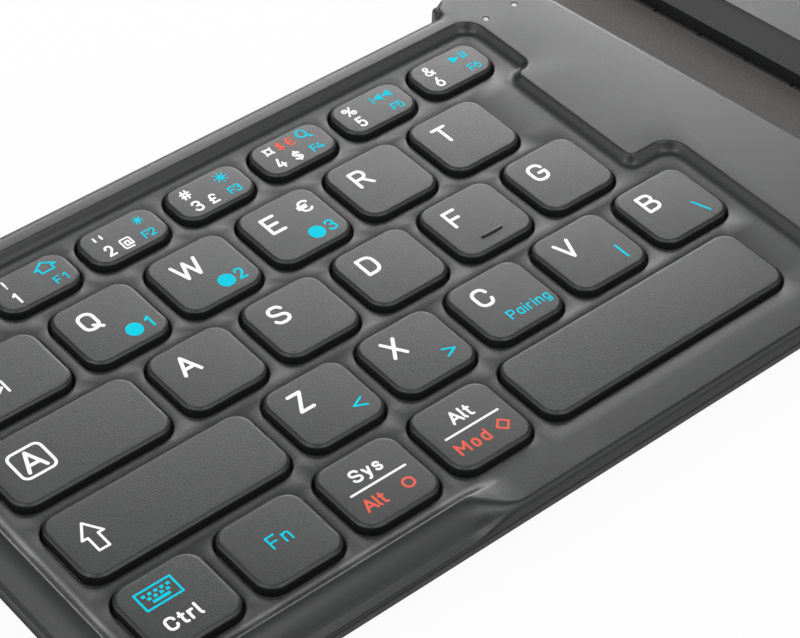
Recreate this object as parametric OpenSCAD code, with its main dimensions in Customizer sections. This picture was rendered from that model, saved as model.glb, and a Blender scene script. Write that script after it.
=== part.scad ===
// Folding keyboard: two flat leaves hinged to a narrow spine, so that it shuts like a book.
// Millimetres, +Z up, hinges along Y. The origin lies on the table, under the middle of the open keyboard.
// Each leaf is drawn in its own row frame, with the first letter key of the upper row at zero and the
// rows along X. The row frame is then turned by rows_angle and put beside the spine.

/* [Key rows] */
// Turn of each leaf's rows away from square to the hinges, in degrees
rows_angle = 7.4; // [5:0.1:9]
// Distance between letter keys along a row
key_pitch = 18; // [17.6:0.1:18.4]
// Distance between the letter rows
row_pitch = 16.94; // [16.6:0.02:17.4]
// Distance between number keys along their row
number_pitch = 17.15; // [16.9:0.05:17.3]
// Distance from the upper letter row to the number row
number_row_rise = 14.6; // [14.2:0.1:15]
// From the row frame's zero to the first number key
number_shift = -4.05; // [-4.5:0.05:-3.5]
// From the row frame's zero to the first key of the left home row
home_shift = 5.8; // [5.2:0.1:6.4]
// From the row frame's zero to the first key of the left lower row
lower_shift = 14.8; // [14.2:0.1:15.4]
// From the row frame's zero to the first square key of the bottom row
bottom_shift = -7; // [-7.5:0.1:-6.5]
// From the row frame's zero to the outer side of the key block
block_reach = 32.4; // [31:0.1:33]
// From the row frame's zero to the inner key of the right upper row
right_upper_reach = 89; // [88:0.1:89.4]

/* [Key caps] */
// Width of a letter key's cap
cap_width = 15; // [14.6:0.1:15.2]
// Depth of a letter key's cap
cap_depth = 14.05; // [13.6:0.05:14.3]
// Width of a number key's cap
number_cap_width = 14.5; // [14:0.1:14.7]
// Depth of a number key's cap
number_cap_depth = 8.7; // [8.3:0.1:9]
// Width of a space bar
space_width = 50.2; // [46:0.2:51]
// Radius of a cap's corners
cap_corner = 3; // [2.2:0.1:3.6]
// Height of a cap with its skirt
cap_height = 2; // [1.9:0.05:2.1]
// Thickness of a cap's top
cap_top = 1; // [0.8:0.1:1.2]
// Thickness of a cap's skirt
cap_skirt = 1; // [0.8:0.1:1.3]
// How far a cap stands out of the tray
cap_stand = 1.13; // [1.05:0.02:1.2]
// How far a cap's top lies below the plateau
cap_recess = 0.4; // [0.3:0.05:0.5]
// How far a key travels
key_travel = 1.2; // [1:0.1:1.3]
// Gap round a cap in its hole
hole_gap = 0.5; // [0.35:0.05:0.6]
// Gap between the two half-depth arrow keys
arrow_gap = 1; // [0.8:0.1:1.4]

/* [Leaf] */
// Thickness of a leaf without its feet
leaf_thickness = 7.6; // [7.4:0.1:8]
// Height of the base cover
base_height = 3.3; // [3.2:0.1:3.5]
// From the row frame's zero to a leaf's outer side
leaf_side = 41.9; // [41.5:0.1:44]
// From the row frame's zero to a leaf's front edge
leaf_front = 66.9; // [66.5:0.1:68]
// From the row frame's zero to a leaf's back edge
leaf_back = 27.5; // [27.2:0.1:28.5]
// Radius of a leaf's outer corners
leaf_corner = 10; // [6:0.5:12]
// Radius of a leaf's corners beside the spine
hinge_corner = 3; // [2:0.25:3.5]
// Width of the bevel along the outer side
side_bevel = 5.5; // [4:0.1:5.5]
// Width of the bevel along the front edge
front_bevel = 5.9; // [4:0.1:6]
// Width of the bevel along the back edge
back_bevel = 2; // [1:0.1:2.5]
// Upright edge of the top case above the parting line
edge_lip = 0.5; // [0.3:0.05:0.8]
// How far the base cover draws in below the parting line
base_undercut = 1.2; // [0.6:0.1:1.3]
// Thickness of the base cover's floor
base_floor = 1; // [0.9:0.1:1.1]
// Thickness of the tray's floor
tray_floor = 1.4; // [1.2:0.1:1.5]
// Thickness of the plateau's top
plateau_floor = 1.3; // [1.1:0.1:1.5]
// Thickness of the wall beside the spine
hinge_wall = 1.8; // [1.5:0.1:2]
// Thickness of the outer side wall
side_wall = 5.1; // [4.9:0.1:5.2]
// Thickness of the front wall
front_wall = 5.5; // [5.2:0.1:5.6]
// Thickness of the back wall
back_wall = 4.6; // [4.2:0.1:4.7]

/* [Tray] */
// Margin between the key block and the outer rim
rim_margin = 4; // [3.8:0.1:4.2]
// Margin between the bottom row and the front rim
front_margin = 3; // [2.8:0.1:3.2]
// Margin between the number keys and the back rim
back_margin = 3.75; // [3.4:0.05:3.9]
// Margin between the inner keys and the plateau
plateau_margin = 4; // [3.8:0.1:4.2]
// Radius of the tray's outer corners
tray_corner = 3.5; // [3:0.1:4]
// Radius of the plateau's noses between the rows
nose_radius = 1.8; // [1.4:0.1:1.8]
// Where the front rim ends, from the row frame's zero
rim_end = 28; // [20:1:32]
// Length over which the front rim fades
rim_fade = 14; // [10:1:18]

/* [Hub] */
// From the row frame's zero to the hub's back edge, square to the hinges
hub_reach = 17.8; // [17.5:0.1:18.5]
// Width of the hub's back edge
hub_width = 16.6; // [16:0.1:17]
// Radius of the hub's back corners
hub_corner = 1; // [0.6:0.1:1.2]
// Depth of the room inside the back of the hub
hub_depth = 14; // [12:0.5:16]
// Width of the space inside the hub
hub_room = 12.2; // [12.1:0.05:12.3]

/* [Spine] */
// From the row frame's zero to the middle of the spine
centre_reach = 118.8; // [118.7:0.1:120]
// Gap between the two leaves
leaf_gap = 17.6; // [17:0.1:18.4]
// Width of the spine
spine_width = 13.2; // [12.6:0.1:13.4]
// Thickness of the spine's bar
spine_bar_height = 1.2; // [1:0.05:1.25]
// Thickness of the spine's cover
cover_thickness = 0.5; // [0.4:0.05:0.55]
// Room under the spine
spine_clear = 0.4; // [0.3:0.05:0.45]
// Height of the hinge pins above the table
pin_height = 1.3; // [1.25:0.05:1.4]
// Radius of a hinge pin
pin_radius = 0.6; // [0.5:0.05:0.65]
// Outer radius of a hinge knuckle
knuckle_radius = 0.95; // [0.9:0.01:1]
// Running gap between a pin and a leaf's knuckle
pin_play = 0.05; // [0.03:0.01:0.08]
// Number of knuckles along each hinge
knuckles = 9; // [5:2:13]
// Room between the hinge's ends and the leaf's corners
hinge_inset = 3.8; // [3.5:0.1:5]
// Gap between neighbouring knuckles
knuckle_gap = 0.2; // [0.1:0.05:0.4]

/* [Inside] */
// Height of the ribs that carry the key plate, above the base cover's floor
rib_height = 1.4; // [1.3:0.05:1.5]
// Width of a rib
rib_width = 1.2; // [0.8:0.1:1.6]
// Thickness of the key plate
plate_thickness = 0.4; // [0.3:0.05:0.5]
// Thickness of the membrane
membrane_thickness = 0.3; // [0.2:0.05:0.4]
// Gap between the key plate and the walls round it
plate_gap = 0.7; // [0.5:0.1:0.9]
// Radius of the posts that press the membrane down
post_radius = 0.8; // [0.6:0.05:0.85]
// Foot radius of a rubber dome
dome_radius = 1.9; // [1.6:0.1:2]
// Thickness of a scissor link
link_thickness = 0.5; // [0.4:0.05:0.6]
// Width of a scissor link's bars
link_bar = 0.7; // [0.6:0.05:0.8]
// Thickness of the main board
board_thickness = 0.8; // [0.6:0.1:1]
// Width of the main board
board_width = 11.8; // [11.7:0.05:11.9]
// Length of the main board
board_length = 76; // [70:0.5:77]
// Height of the main board's supports
board_rise = 0.8; // [0.6:0.1:1]
// Width of the battery
battery_width = 10; // [8:0.1:10.8]
// Length of the battery
battery_length = 47; // [40:0.5:48]
// Thickness of the battery
battery_thickness = 4; // [3.4:0.1:4.2]
// Width of the charging port
port_width = 8.94; // [8.9:0.01:9]
// Height of the charging port
port_height = 3.16; // [3.1:0.01:3.2]
// Depth of the charging port
port_depth = 7.2; // [6.8:0.1:7.4]
// Wall of the charging port's shell
port_wall = 0.3; // [0.25:0.05:0.35]
// Length and width of a chip on the main board
chip_size = 6; // [4:0.5:7]
// Height of a chip
chip_height = 1; // [0.8:0.1:1.4]
// Width of a light source on the main board
lamp_size = 1.2; // [1:0.1:1.4]
// Height of a light source
lamp_height = 0.6; // [0.5:0.1:0.8]
// From the wall beside the spine to the nearer status light
light_inset = 4.4; // [4:0.1:5]
// Distance between the two status lights
light_spacing = 6.6; // [6:0.1:6.7]
// From the hub's back edge to the status lights
light_reach = 9.8; // [9:0.1:11]
// Radius of a status light
light_radius = 0.5; // [0.4:0.05:0.6]
// Width of the flat cable through the spine
flex_width = 8; // [6:0.5:10]
// Thickness of the flat cable
flex_thickness = 0.25; // [0.2:0.05:0.3]

/* [Fasteners and feet] */
// Radius of a screw's thread
screw_radius = 0.8; // [0.7:0.05:0.85]
// Radius of a screw's head
screw_head = 1.4; // [1.3:0.05:1.4]
// Height of a screw's head
screw_head_height = 0.8; // [0.7:0.05:0.85]
// How far a screw reaches into the top case
screw_bite = 1.1; // [0.8:0.1:1.2]
// Radius of a rubber foot
foot_radius = 4; // [3:0.25:5]
// How far a foot stands out of the base cover
foot_height = 0.6; // [0.55:0.05:0.7]
// Depth of a foot's seat
foot_seat = 0.3; // [0.2:0.05:0.35]
// From the tray's corners to the middle of a foot
foot_inset = 6; // [4:0.5:8]

/* [Hidden] */

case_grey = "#5f6160";
cap_grey = "#676968";
cover_grey = "#4b4745";
steel = "#b4b6b8";
board_green = "#2f5f46";
rubber_black = "#26272a";

corner_steps = 7;
play = 0.02;
seat_gap = 0.05;
light_sink = 0.1;
link_room = 0.4;
tongue_half = 3.35;
tongue_thickness = 0.7;

// Heights above the table
base_z = foot_height;
plateau_z = foot_height + leaf_thickness;
parting_z = base_z + base_height;
cap_z = plateau_z - cap_recess;
tray_z = cap_z - cap_stand;
tray_under_z = tray_z - tray_floor;
floor_z = base_z + base_floor;
plate_z = floor_z + rib_height;
membrane_z = plate_z + plate_thickness;
membrane_top_z = membrane_z + membrane_thickness;
cap_under_z = cap_z - cap_top;
board_z = floor_z + board_rise;
board_top_z = board_z + board_thickness;
hub_ceiling_z = plateau_z - plateau_floor;
spine_top_z = spine_clear + spine_bar_height;

// Distances from the middle of the spine
side_x = leaf_gap / 2;
inner_x = side_x + hinge_wall;
pin_x = (leaf_gap + spine_width) / 4;
hub_x = inner_x + hub_room;

// Rows of the key block, from the back to the front
number_y = number_row_rise;
upper_y = 0;
home_y = -row_pitch;
lower_y = -2 * row_pitch;
bottom_y = -3 * row_pitch;
cap_gap = key_pitch - cap_width;
number_gap = number_pitch - number_cap_width;
space_left = bottom_shift + 2 * key_pitch + cap_width / 2 + cap_gap;
home_reach = right_upper_reach - home_shift;
lower_reach = right_upper_reach - lower_shift;

// The tray's edges in the row frame
tray_left = -block_reach - rim_margin;
tray_back = number_y + number_cap_depth / 2 + back_margin;
tray_front = bottom_y - cap_depth / 2 - front_margin;
number_edge = number_shift + 5 * number_pitch + number_cap_width / 2 + plateau_margin;
left_home_edge = home_shift + 4 * key_pitch + cap_width / 2 + plateau_margin;
left_lower_edge = lower_shift + 4 * key_pitch + cap_width / 2 + plateau_margin;
right_upper_edge = right_upper_reach + cap_width / 2 + plateau_margin;
right_home_edge = home_reach + cap_width / 2 + plateau_margin;
number_step_y = (number_y - number_cap_depth / 2 + cap_depth / 2) / 2 - nose_radius;
lower_step_y = lower_y + cap_depth / 2 + plateau_margin + nose_radius / 2;
right_step_y = home_y + cap_depth / 2 + nose_radius / 2;
front_beyond = -leaf_front - 8;

// The row frame's place beside the spine, which puts the middle of the whole at zero
function row_x(u, v) = u * cos(rows_angle) + v * sin(rows_angle);
function row_y(u, v) = v * cos(rows_angle) - u * sin(rows_angle);
function row_u(x, y) = x * cos(rows_angle) - y * sin(rows_angle);
function row_v(x, y) = x * sin(rows_angle) + y * cos(rows_angle);
// The row frame's place along X where a line at x from the spine's middle crosses row height v
function row_at(x, v) = (centre_reach - x - v * sin(rows_angle)) / cos(rows_angle);
leaf_back_most = row_y(leaf_corner - leaf_side, leaf_back - leaf_corner) + leaf_corner;
nose_v = hinge_corner - leaf_front;
leaf_front_most = row_y(row_at(side_x + hinge_corner, nose_v), nose_v) - hinge_corner;
row_zero_y = -(leaf_back_most + leaf_front_most) / 2;
hub_y = row_zero_y + hub_reach;
// The knuckles are laid out in whole tenths of a millimetre
hinge_front = ceil(10 * (row_zero_y + leaf_front_most + hinge_inset)) / 10;
knuckle_pitch = floor(10 * (hub_y - hinge_inset - hinge_front) / knuckles) / 10;
hinge_back = hinge_front + knuckles * knuckle_pitch;
board_back = hub_y - hinge_wall - seat_gap;
port_back = hub_y - seat_gap;
port_x = inner_x + seat_gap + board_width / 2;
light_rise = light_spacing * sin(rows_angle) / 2;
light_places = [for (s = [-1, 1])
    [-inner_x - light_inset - (s + 1) / 2 * light_spacing, hub_y - light_reach + s * light_rise]];
battery_front = row_zero_y + row_y(row_at(hub_x, front_wall - leaf_front), front_wall - leaf_front) + 1;

// Keys: name, middle along and across the row, width and depth of the cap
function run(names, first, pitch, y, w, d) =
    [for (i = [0 : len(names) - 1]) [names[i], first + i * pitch, y, w, d]];
function fill(name, to, y, d) = [[name, (to - block_reach) / 2, y, to + block_reach, d]];
number_names = ["key_1", "key_2", "key_3", "key_4", "key_5", "key_6"];
number_fill = number_shift - number_cap_width / 2 - number_gap;
space_key = ["space_bar", space_left + space_width / 2, bottom_y, space_width, cap_depth];
left_keys = concat(
    fill("key_escape", number_fill, number_y, number_cap_depth),
    run(number_names, number_shift, number_pitch, number_y, number_cap_width, number_cap_depth),
    fill("key_tab", -cap_width / 2 - cap_gap, upper_y, cap_depth),
    run(["key_q", "key_w", "key_e", "key_r", "key_t"], 0, key_pitch, upper_y, cap_width, cap_depth),
    fill("key_caps_lock", home_shift - cap_width / 2 - cap_gap, home_y, cap_depth),
    run(["key_a", "key_s", "key_d", "key_f", "key_g"], home_shift, key_pitch, home_y, cap_width, cap_depth),
    fill("key_shift", lower_shift - cap_width / 2 - cap_gap, lower_y, cap_depth),
    run(["key_z", "key_x", "key_c", "key_v", "key_b"], lower_shift, key_pitch, lower_y, cap_width, cap_depth),
    fill("key_control", bottom_shift - cap_width / 2 - cap_gap, bottom_y, cap_depth),
    run(["key_function", "key_system", "key_alt"], bottom_shift, key_pitch, bottom_y, cap_width, cap_depth),
    [space_key]
);
// On the right leaf the keys of a row share one node, counted from the spine outwards
function right_run(name, count, reach, pitch, y, w, d) =
    [for (i = [0 : count - 1]) [name, reach - i * pitch, y, w, d]];
function right_row(name, count, reach, y) = concat(
    right_run(name, count, reach, key_pitch, y, cap_width, cap_depth),
    fill(name, reach - (count - 1) * key_pitch - cap_width / 2 - cap_gap, y, cap_depth)
);
arrow_depth = (cap_depth - arrow_gap) / 2;
arrow_y = (arrow_depth + arrow_gap) / 2;
right_keys = concat(
    right_run("right_number_row", 6, number_shift + 5 * number_pitch, number_pitch, number_y,
        number_cap_width, number_cap_depth),
    fill("right_number_row", number_fill, number_y, number_cap_depth),
    right_row("right_upper_row", 6, right_upper_reach, upper_y),
    right_row("right_home_row", 6, home_reach, home_y),
    right_row("right_lower_row", 5, lower_reach, lower_y),
    [["right_space_bar", space_key[1], bottom_y, space_width, cap_depth]],
    right_run("right_bottom_row", 2, bottom_shift + 2 * key_pitch, key_pitch, bottom_y, cap_width, cap_depth),
    [for (s = [-1, 1]) ["right_bottom_row", bottom_shift, bottom_y + s * arrow_y, cap_width, arrow_depth]],
    fill("right_bottom_row", bottom_shift - cap_width / 2 - cap_gap, bottom_y, cap_depth)
);

// Screws in the row frame: in the outer side wall, the front wall and the back wall
screw_side_u = -leaf_side + base_undercut + screw_head + 0.4;
screw_front_v = -leaf_front + base_undercut + screw_head + 0.4;
screw_back_v = leaf_back - base_undercut - screw_head - 0.3;
screw_places = [
    [screw_side_u, number_y - 2], [screw_side_u, bottom_y],
    [key_pitch, screw_back_v], [number_edge - 9, screw_back_v],
    [home_shift, screw_front_v], [home_shift + 4 * key_pitch, screw_front_v]
];
screw_top_z = parting_z + screw_bite;
foot_places = [
    [tray_left + foot_inset, tray_back - foot_inset], [tray_left + foot_inset, tray_front + foot_inset],
    [number_edge + foot_radius, tray_back - foot_inset],
    [left_lower_edge + foot_radius + 1, tray_front + foot_inset]
];
// Posts between the rows press the membrane and the key plate onto the ribs
post_rows = [number_step_y + nose_radius, (upper_y + home_y) / 2, (home_y + lower_y) / 2, (lower_y + bottom_y) / 2];
post_columns = [for (i = [0 : 4]) i * key_pitch];

/* Outlines */
function unit(v) = v / norm(v);
function turned(v, angle) = [v[0] * cos(angle) - v[1] * sin(angle), v[0] * sin(angle) + v[1] * cos(angle)];
function corner(before, at, after, r) =
    let (
        d1 = unit(before - at),
        d2 = unit(after - at),
        half = acos(d1 * d2) / 2,
        middle = at + unit(d1 + d2) * r / sin(half),
        first = at + d1 * r / tan(half) - middle,
        sweep = (180 - 2 * half) * sign(d2[0] * d1[1] - d2[1] * d1[0])
    )
    r == 0 ? [at] : [for (k = [0 : corner_steps]) middle + turned(first, sweep * k / corner_steps)];
// Closed outline through points given as [x, y, corner radius]
function rounded(points) = [
    for (i = [0 : len(points) - 1])
        let (n = len(points), a = points[(i + n - 1) % n], b = points[i], c = points[(i + 1) % n])
            each corner([a[0], a[1]], [b[0], b[1]], [c[0], c[1]], b[2])
];
function block(w, d, r) = rounded([[-w / 2, -d / 2, r], [w / 2, -d / 2, r], [w / 2, d / 2, r], [-w / 2, d / 2, r]]);

// A leaf's outline in the row frame, with the hub's back edge past the leaf's
hub_right = centre_reach - side_x;
hub_left = hub_right - hub_width;
leaf_outline = rounded([
    [-leaf_side, -leaf_front, leaf_corner], [row_at(side_x, -leaf_front), -leaf_front, hinge_corner],
    [row_u(hub_right, hub_reach), row_v(hub_right, hub_reach), hub_corner],
    [row_u(hub_left, hub_reach), row_v(hub_left, hub_reach), hub_corner],
    [row_u(hub_left, hub_reach) - hub_corner, leaf_back, hub_corner / 2],
    [-leaf_side, leaf_back, leaf_corner]
]);
room_outline = rounded([
    [side_wall - leaf_side, front_wall - leaf_front, 2],
    [row_at(inner_x, front_wall - leaf_front), front_wall - leaf_front, 1],
    [row_at(inner_x, leaf_back - back_wall), leaf_back - back_wall, 1],
    [side_wall - leaf_side, leaf_back - back_wall, 2]
]);
left_tray = rounded([
    [tray_left, tray_front, tray_corner], [rim_end, tray_front, 0], [rim_end + rim_fade, front_beyond, 0],
    [left_lower_edge, front_beyond, 0], [left_lower_edge, lower_step_y, tray_corner],
    [left_home_edge, lower_step_y, nose_radius], [left_home_edge, number_step_y, nose_radius],
    [number_edge, number_step_y, nose_radius], [number_edge, tray_back, tray_corner],
    [tray_left, tray_back, tray_corner]
]);
right_tray = rounded([
    [tray_left, tray_front, tray_corner], [rim_end, tray_front, 0], [rim_end + rim_fade, front_beyond, 0],
    [right_home_edge, front_beyond, 0], [right_home_edge, right_step_y, nose_radius],
    [right_upper_edge, right_step_y, tray_corner], [right_upper_edge, number_step_y + nose_radius, tray_corner],
    [number_edge, number_step_y + nose_radius, nose_radius], [number_edge, tray_back, tray_corner],
    [tray_left, tray_back, tray_corner]
]);
// The key plate lies under the keys, inside the walls
function plate_outline(number_to, upper_to, step_y, lower_to) = rounded([
    [plate_gap + side_wall - leaf_side, plate_gap + front_wall - leaf_front, 2],
    [lower_to, plate_gap + front_wall - leaf_front, 2], [lower_to, step_y, 1],
    [upper_to, step_y, 1], [upper_to, number_step_y, 1], [number_to, number_step_y, 1],
    [number_to, leaf_back - back_wall - plate_gap, 1],
    [plate_gap + side_wall - leaf_side, leaf_back - back_wall - plate_gap, 2]
]);

/* Frames and solids */
module in_rows() {
    translate([-centre_reach, row_zero_y, 0]) rotate([0, 0, -rows_angle]) children();
}
module slab(outline, z0, z1) {
    translate([0, 0, z0]) linear_extrude(height = z1 - z0) polygon(outline);
}
module at_keys(keys) {
    for (k = keys) translate([k[1], k[2], 0]) children();
}
module bar(x0, x1, y0, y1, z0, z1) {
    translate([x0, y0, z0]) cube([x1 - x0, y1 - y0, z1 - z0]);
}
module rod(r, x, y, z0, z1) {
    translate([x, y, z0]) cylinder(h = z1 - z0, r = r, $fn = 32);
}

/* Left leaf, and the right leaf as its mirror image */
module key_holes(keys) {
    for (k = keys)
        translate([k[1], k[2], 0])
            slab(block(k[3] + 2 * hole_gap, k[4] + 2 * hole_gap, cap_corner + hole_gap), parting_z, plateau_z + 1);
}
// Room inside a leaf between two heights
module leaf_room(z0, z1) {
    in_rows() slab(room_outline, z0, z1);
    bar(-hub_x, -inner_x, hub_y - hub_depth, hub_y - hinge_wall, z0, z1);
}
module knuckle_row(first, bore, z_low, z_high, x_to) {
    for (i = [first : 2 : knuckles - 1]) {
        y0 = hinge_front + i * knuckle_pitch + knuckle_gap;
        y1 = y0 + knuckle_pitch - 2 * knuckle_gap;
        difference() {
            union() {
                translate([-pin_x, y1, pin_height]) rotate([90, 0, 0])
                    cylinder(h = y1 - y0, r = knuckle_radius, $fn = 40);
                bar(min(-pin_x, x_to), max(-pin_x, x_to), y0, y1, z_low, z_high);
            }
            translate([-pin_x, y1 + 1, pin_height]) rotate([90, 0, 0])
                cylinder(h = y1 - y0 + 2, r = bore, $fn = 40);
        }
    }
}
// Wedge that bevels an edge along Y at zero: the cut runs inwards by width over the rise
module wedge(width, rise, y0, y1) {
    translate([0, y1, 0]) rotate([90, 0, 0]) linear_extrude(height = y1 - y0)
        polygon([[-1, -rise / width], [width + width / rise, rise + 1], [-1, rise + 1]]);
}
// Bevels along a leaf's outer side, its front edge as far as front_to, and its back edge up to the hub
module edge_cuts(side, front, back, rise, front_to) {
    beyond = leaf_side + 5;
    translate([-leaf_side, 0, 0]) wedge(side, rise, -leaf_front - 5, leaf_back + 5);
    translate([0, -leaf_front, 0]) rotate([0, 0, 90]) wedge(front, rise, -front_to, beyond);
    translate([0, leaf_back, 0]) rotate([0, 0, -90]) wedge(back, rise, -beyond, row_u(hub_left, hub_reach) - 3);
}
module port_hole() {
    bar(-port_x - port_width / 2 - 0.2, -port_x + port_width / 2 + 0.2, hub_y - hinge_wall - 1, hub_y + 1,
        board_top_z - 0.2, board_top_z + port_height + 0.2);
}
module base_cover(with_port) {
    color(case_grey) {
        difference() {
            in_rows() slab(leaf_outline, base_z, parting_z);
            leaf_room(floor_z, parting_z + 1);
            in_rows() {
                translate([0, 0, parting_z - edge_lip]) mirror([0, 0, 1]) edge_cuts(base_undercut, base_undercut,
                    base_undercut, base_height - edge_lip, row_at(side_x + hinge_corner, -leaf_front));
                for (p = screw_places) {
                    rod(screw_radius + 0.1, p[0], p[1], base_z - 1, parting_z + 1);
                    rod(screw_head + 0.1, p[0], p[1], base_z - 1, base_z + screw_head_height + seat_gap);
                }
                for (p = foot_places) rod(foot_radius + 0.1, p[0], p[1], base_z - 1, base_z + foot_seat);
            }
            if (with_port) port_hole();
        }
        in_rows() for (v = post_rows)
            bar(side_wall - leaf_side, left_home_edge - cap_gap, v - rib_width / 2, v + rib_width / 2, floor_z, plate_z);
        knuckle_row(0, pin_radius + pin_play, base_z + 0.1, pin_height + 0.5, -side_x - 0.2);
    }
}
module top_case(keys, tray, with_port, hub_room_back) {
    color(case_grey) {
        difference() {
            in_rows() slab(leaf_outline, parting_z, plateau_z);
            leaf_room(parting_z - 1, tray_under_z);
            bar(-hub_x, -inner_x, battery_front, hub_room_back, parting_z - 1, hub_ceiling_z);
            in_rows() {
                translate([0, 0, parting_z + edge_lip]) edge_cuts(side_bevel, front_bevel, back_bevel,
                    plateau_z - parting_z - edge_lip, rim_end + rim_fade);
                slab(tray, tray_z, plateau_z + 1);
                key_holes(keys);
                for (p = screw_places) rod(screw_radius + play, p[0], p[1], parting_z - 1, screw_top_z + play);
            }
            if (with_port) {
                port_hole();
                for (p = light_places) rod(light_radius + play, p[0], p[1], parting_z, plateau_z + 1);
            }
        }
        in_rows() for (v = post_rows, u = post_columns)
            rod(post_radius, u + post_shift(v), v, membrane_top_z, tray_under_z);
    }
}
// A post stands between two keys of the row behind it
function post_shift(v) = v > upper_y ? -key_pitch / 2 : v > home_y ? key_pitch / 2 : key_pitch / 2 + home_shift;
module key_plate(outline) {
    color(steel) in_rows() slab(outline, plate_z, membrane_z);
}
module membrane(outline) {
    color("#d8d4c0") in_rows() slab(outline, membrane_z, membrane_top_z);
}
left_plate = plate_outline(number_edge - 1, left_home_edge - 1, lower_step_y, left_lower_edge - 1);
right_plate = plate_outline(number_edge - 1, right_upper_edge - 3, right_step_y, right_home_edge - 1);

// A key's rubber dome stands on the membrane and carries the cap
// A dome stands inside its links; on short keys the links' ends limit its foot
function link_length(k) = k[4] - 2 * cap_skirt - (k[4] < cap_depth ? 0.5 : 3);
function dome_foot(k) = min(dome_radius, link_length(k) / 2 - link_bar - link_room);
module domes(keys) {
    color("#c9cdd0") in_rows() for (k = keys)
        translate([k[1], k[2], membrane_top_z])
            cylinder(h = cap_under_z - membrane_top_z - seat_gap, r1 = dome_foot(k), r2 = dome_foot(k) / 2, $fn = 24);
}
// Two crossed frames, the narrow one inside the wide one, guide the cap
module link_frame(w, length, lean) {
    rise = cap_under_z - membrane_top_z - seat_gap;
    translate([0, 0, membrane_top_z + rise / 2])
        rotate([lean * asin((rise - link_thickness) / length), 0, 0])
            difference() {
                cube([w, length, link_thickness], center = true);
                cube([w - 2 * link_bar, length - 2 * link_bar, 2], center = true);
            }
}
module scissor_links(keys) {
    color("#e8e8e4") in_rows() for (k = keys) {
        length = link_length(k);
        wide = min(k[3], cap_width) - 2 * cap_skirt - 3;
        translate([k[1], k[2], 0]) {
            link_frame(wide, length, 1);
            link_frame(wide - 2 * link_bar - 0.4, length, -1);
        }
    }
}
module feet() {
    color(rubber_black) in_rows() for (p = foot_places)
        rod(foot_radius, p[0], p[1], 0, base_z + foot_seat);
}
module screw() {
    difference() {
        union() {
            rod(screw_head, 0, 0, base_z + seat_gap, base_z + screw_head_height);
            rod(screw_radius, 0, 0, base_z + screw_head_height - 0.1, screw_top_z);
        }
        for (a = [0, 90]) rotate([0, 0, a]) translate([0, 0, base_z]) cube([1.6, 0.35, 0.8], center = true);
    }
}
module screws() {
    color(steel) in_rows() for (p = screw_places) translate([p[0], p[1], 0]) screw();
}
// A cap is a shallow box, open below
module cap(k) {
    color(cap_grey) translate([k[1], k[2], 0]) difference() {
        slab(block(k[3], k[4], min(cap_corner, k[4] / 2 - 0.5)), cap_z - cap_height, cap_z);
        slab(block(k[3] - 2 * cap_skirt, k[4] - 2 * cap_skirt, 1), cap_z - cap_height - 1, cap_under_z);
    }
}
module main_board() {
    x0 = -inner_x - seat_gap - board_width;
    x1 = -inner_x - seat_gap;
    color(board_green) bar(x0, x1, board_back - board_length, board_back, board_z, board_top_z);
    color(rubber_black) {
        for (y = [board_back - board_length * 0.4, board_back - board_length * 0.7])
            bar(-port_x - chip_size / 2, -port_x + chip_size / 2, y, y + chip_size, board_top_z, board_top_z + chip_height);
    }
    color("white") for (p = light_places)
        bar(p[0] - lamp_size / 2, p[0] + lamp_size / 2, p[1] - lamp_size / 2, p[1] + lamp_size / 2,
            board_top_z, board_top_z + lamp_height);
    color(case_grey) for (y = [board_back - board_length * 0.9, board_back - board_length * 0.4])
        bar(x0 + 1, x1 - 1, y, y + 3, floor_z, board_z);
}
module charging_port() {
    color(steel) difference() {
        bar(-port_x - port_width / 2, -port_x + port_width / 2, port_back - port_depth, port_back,
            board_top_z, board_top_z + port_height);
        bar(-port_x - port_width / 2 + port_wall, -port_x + port_width / 2 - port_wall,
            port_back - port_depth + port_wall, port_back + 1,
            board_top_z + port_wall, board_top_z + port_height - port_wall);
    }
    color(rubber_black) bar(-port_x - tongue_half, -port_x + tongue_half,
        port_back - port_depth + port_wall, port_back - 1.4,
        board_top_z + (port_height - tongue_thickness) / 2, board_top_z + (port_height + tongue_thickness) / 2);
}
module status_lights() {
    color("white") for (p = light_places) rod(light_radius, p[0], p[1], board_top_z + lamp_height, plateau_z - light_sink);
}
module battery() {
    color("#9aa3ad") bar(inner_x + 0.6, inner_x + 0.6 + battery_width, battery_front + 0.6,
        battery_front + 0.6 + battery_length, floor_z, floor_z + battery_thickness);
}

/* Spine */
spine_front = hinge_front - 1.5;
spine_back = hinge_back + 2.4;
function spine_outline(draw) =
    [for (p = block(spine_width - 2 * draw, spine_back - spine_front - 2 * draw, 2))
        p + [0, (spine_front + spine_back) / 2]];
// The cable lies where the leaves carry their middle knuckles, which come first at the front
flex_y = hinge_front + (2 * floor(knuckles / 4) + 0.5) * knuckle_pitch;
flex_z = spine_clear + 0.45;
module spine_bar() {
    color(case_grey) {
        difference() {
            slab(spine_outline(0), spine_clear, spine_top_z);
            bar(-spine_width, spine_width, flex_y - flex_width / 2 - 0.2, flex_y + flex_width / 2 + 0.2,
                flex_z - seat_gap, spine_top_z + 1);
        }
        for (s = [0, 1]) mirror([s, 0, 0])
            knuckle_row(1, pin_radius + play, spine_clear + 0.2, spine_top_z - 0.1, 0.2 - spine_width / 2);
    }
}
module spine_cover() {
    color(cover_grey) slab(spine_outline(0), spine_top_z, spine_top_z + cover_thickness);
}
module hinge_pins() {
    color(steel) for (s = [-1, 1])
        translate([s * pin_x, hinge_back, pin_height]) rotate([90, 0, 0])
            cylinder(h = hinge_back - hinge_front, r = pin_radius, $fn = 40);
}
module flex_cable() {
    color("#b9822f") bar(-spine_width / 2, spine_width / 2, flex_y - flex_width / 2, flex_y + flex_width / 2,
        flex_z, flex_z + flex_thickness);
}

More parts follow.
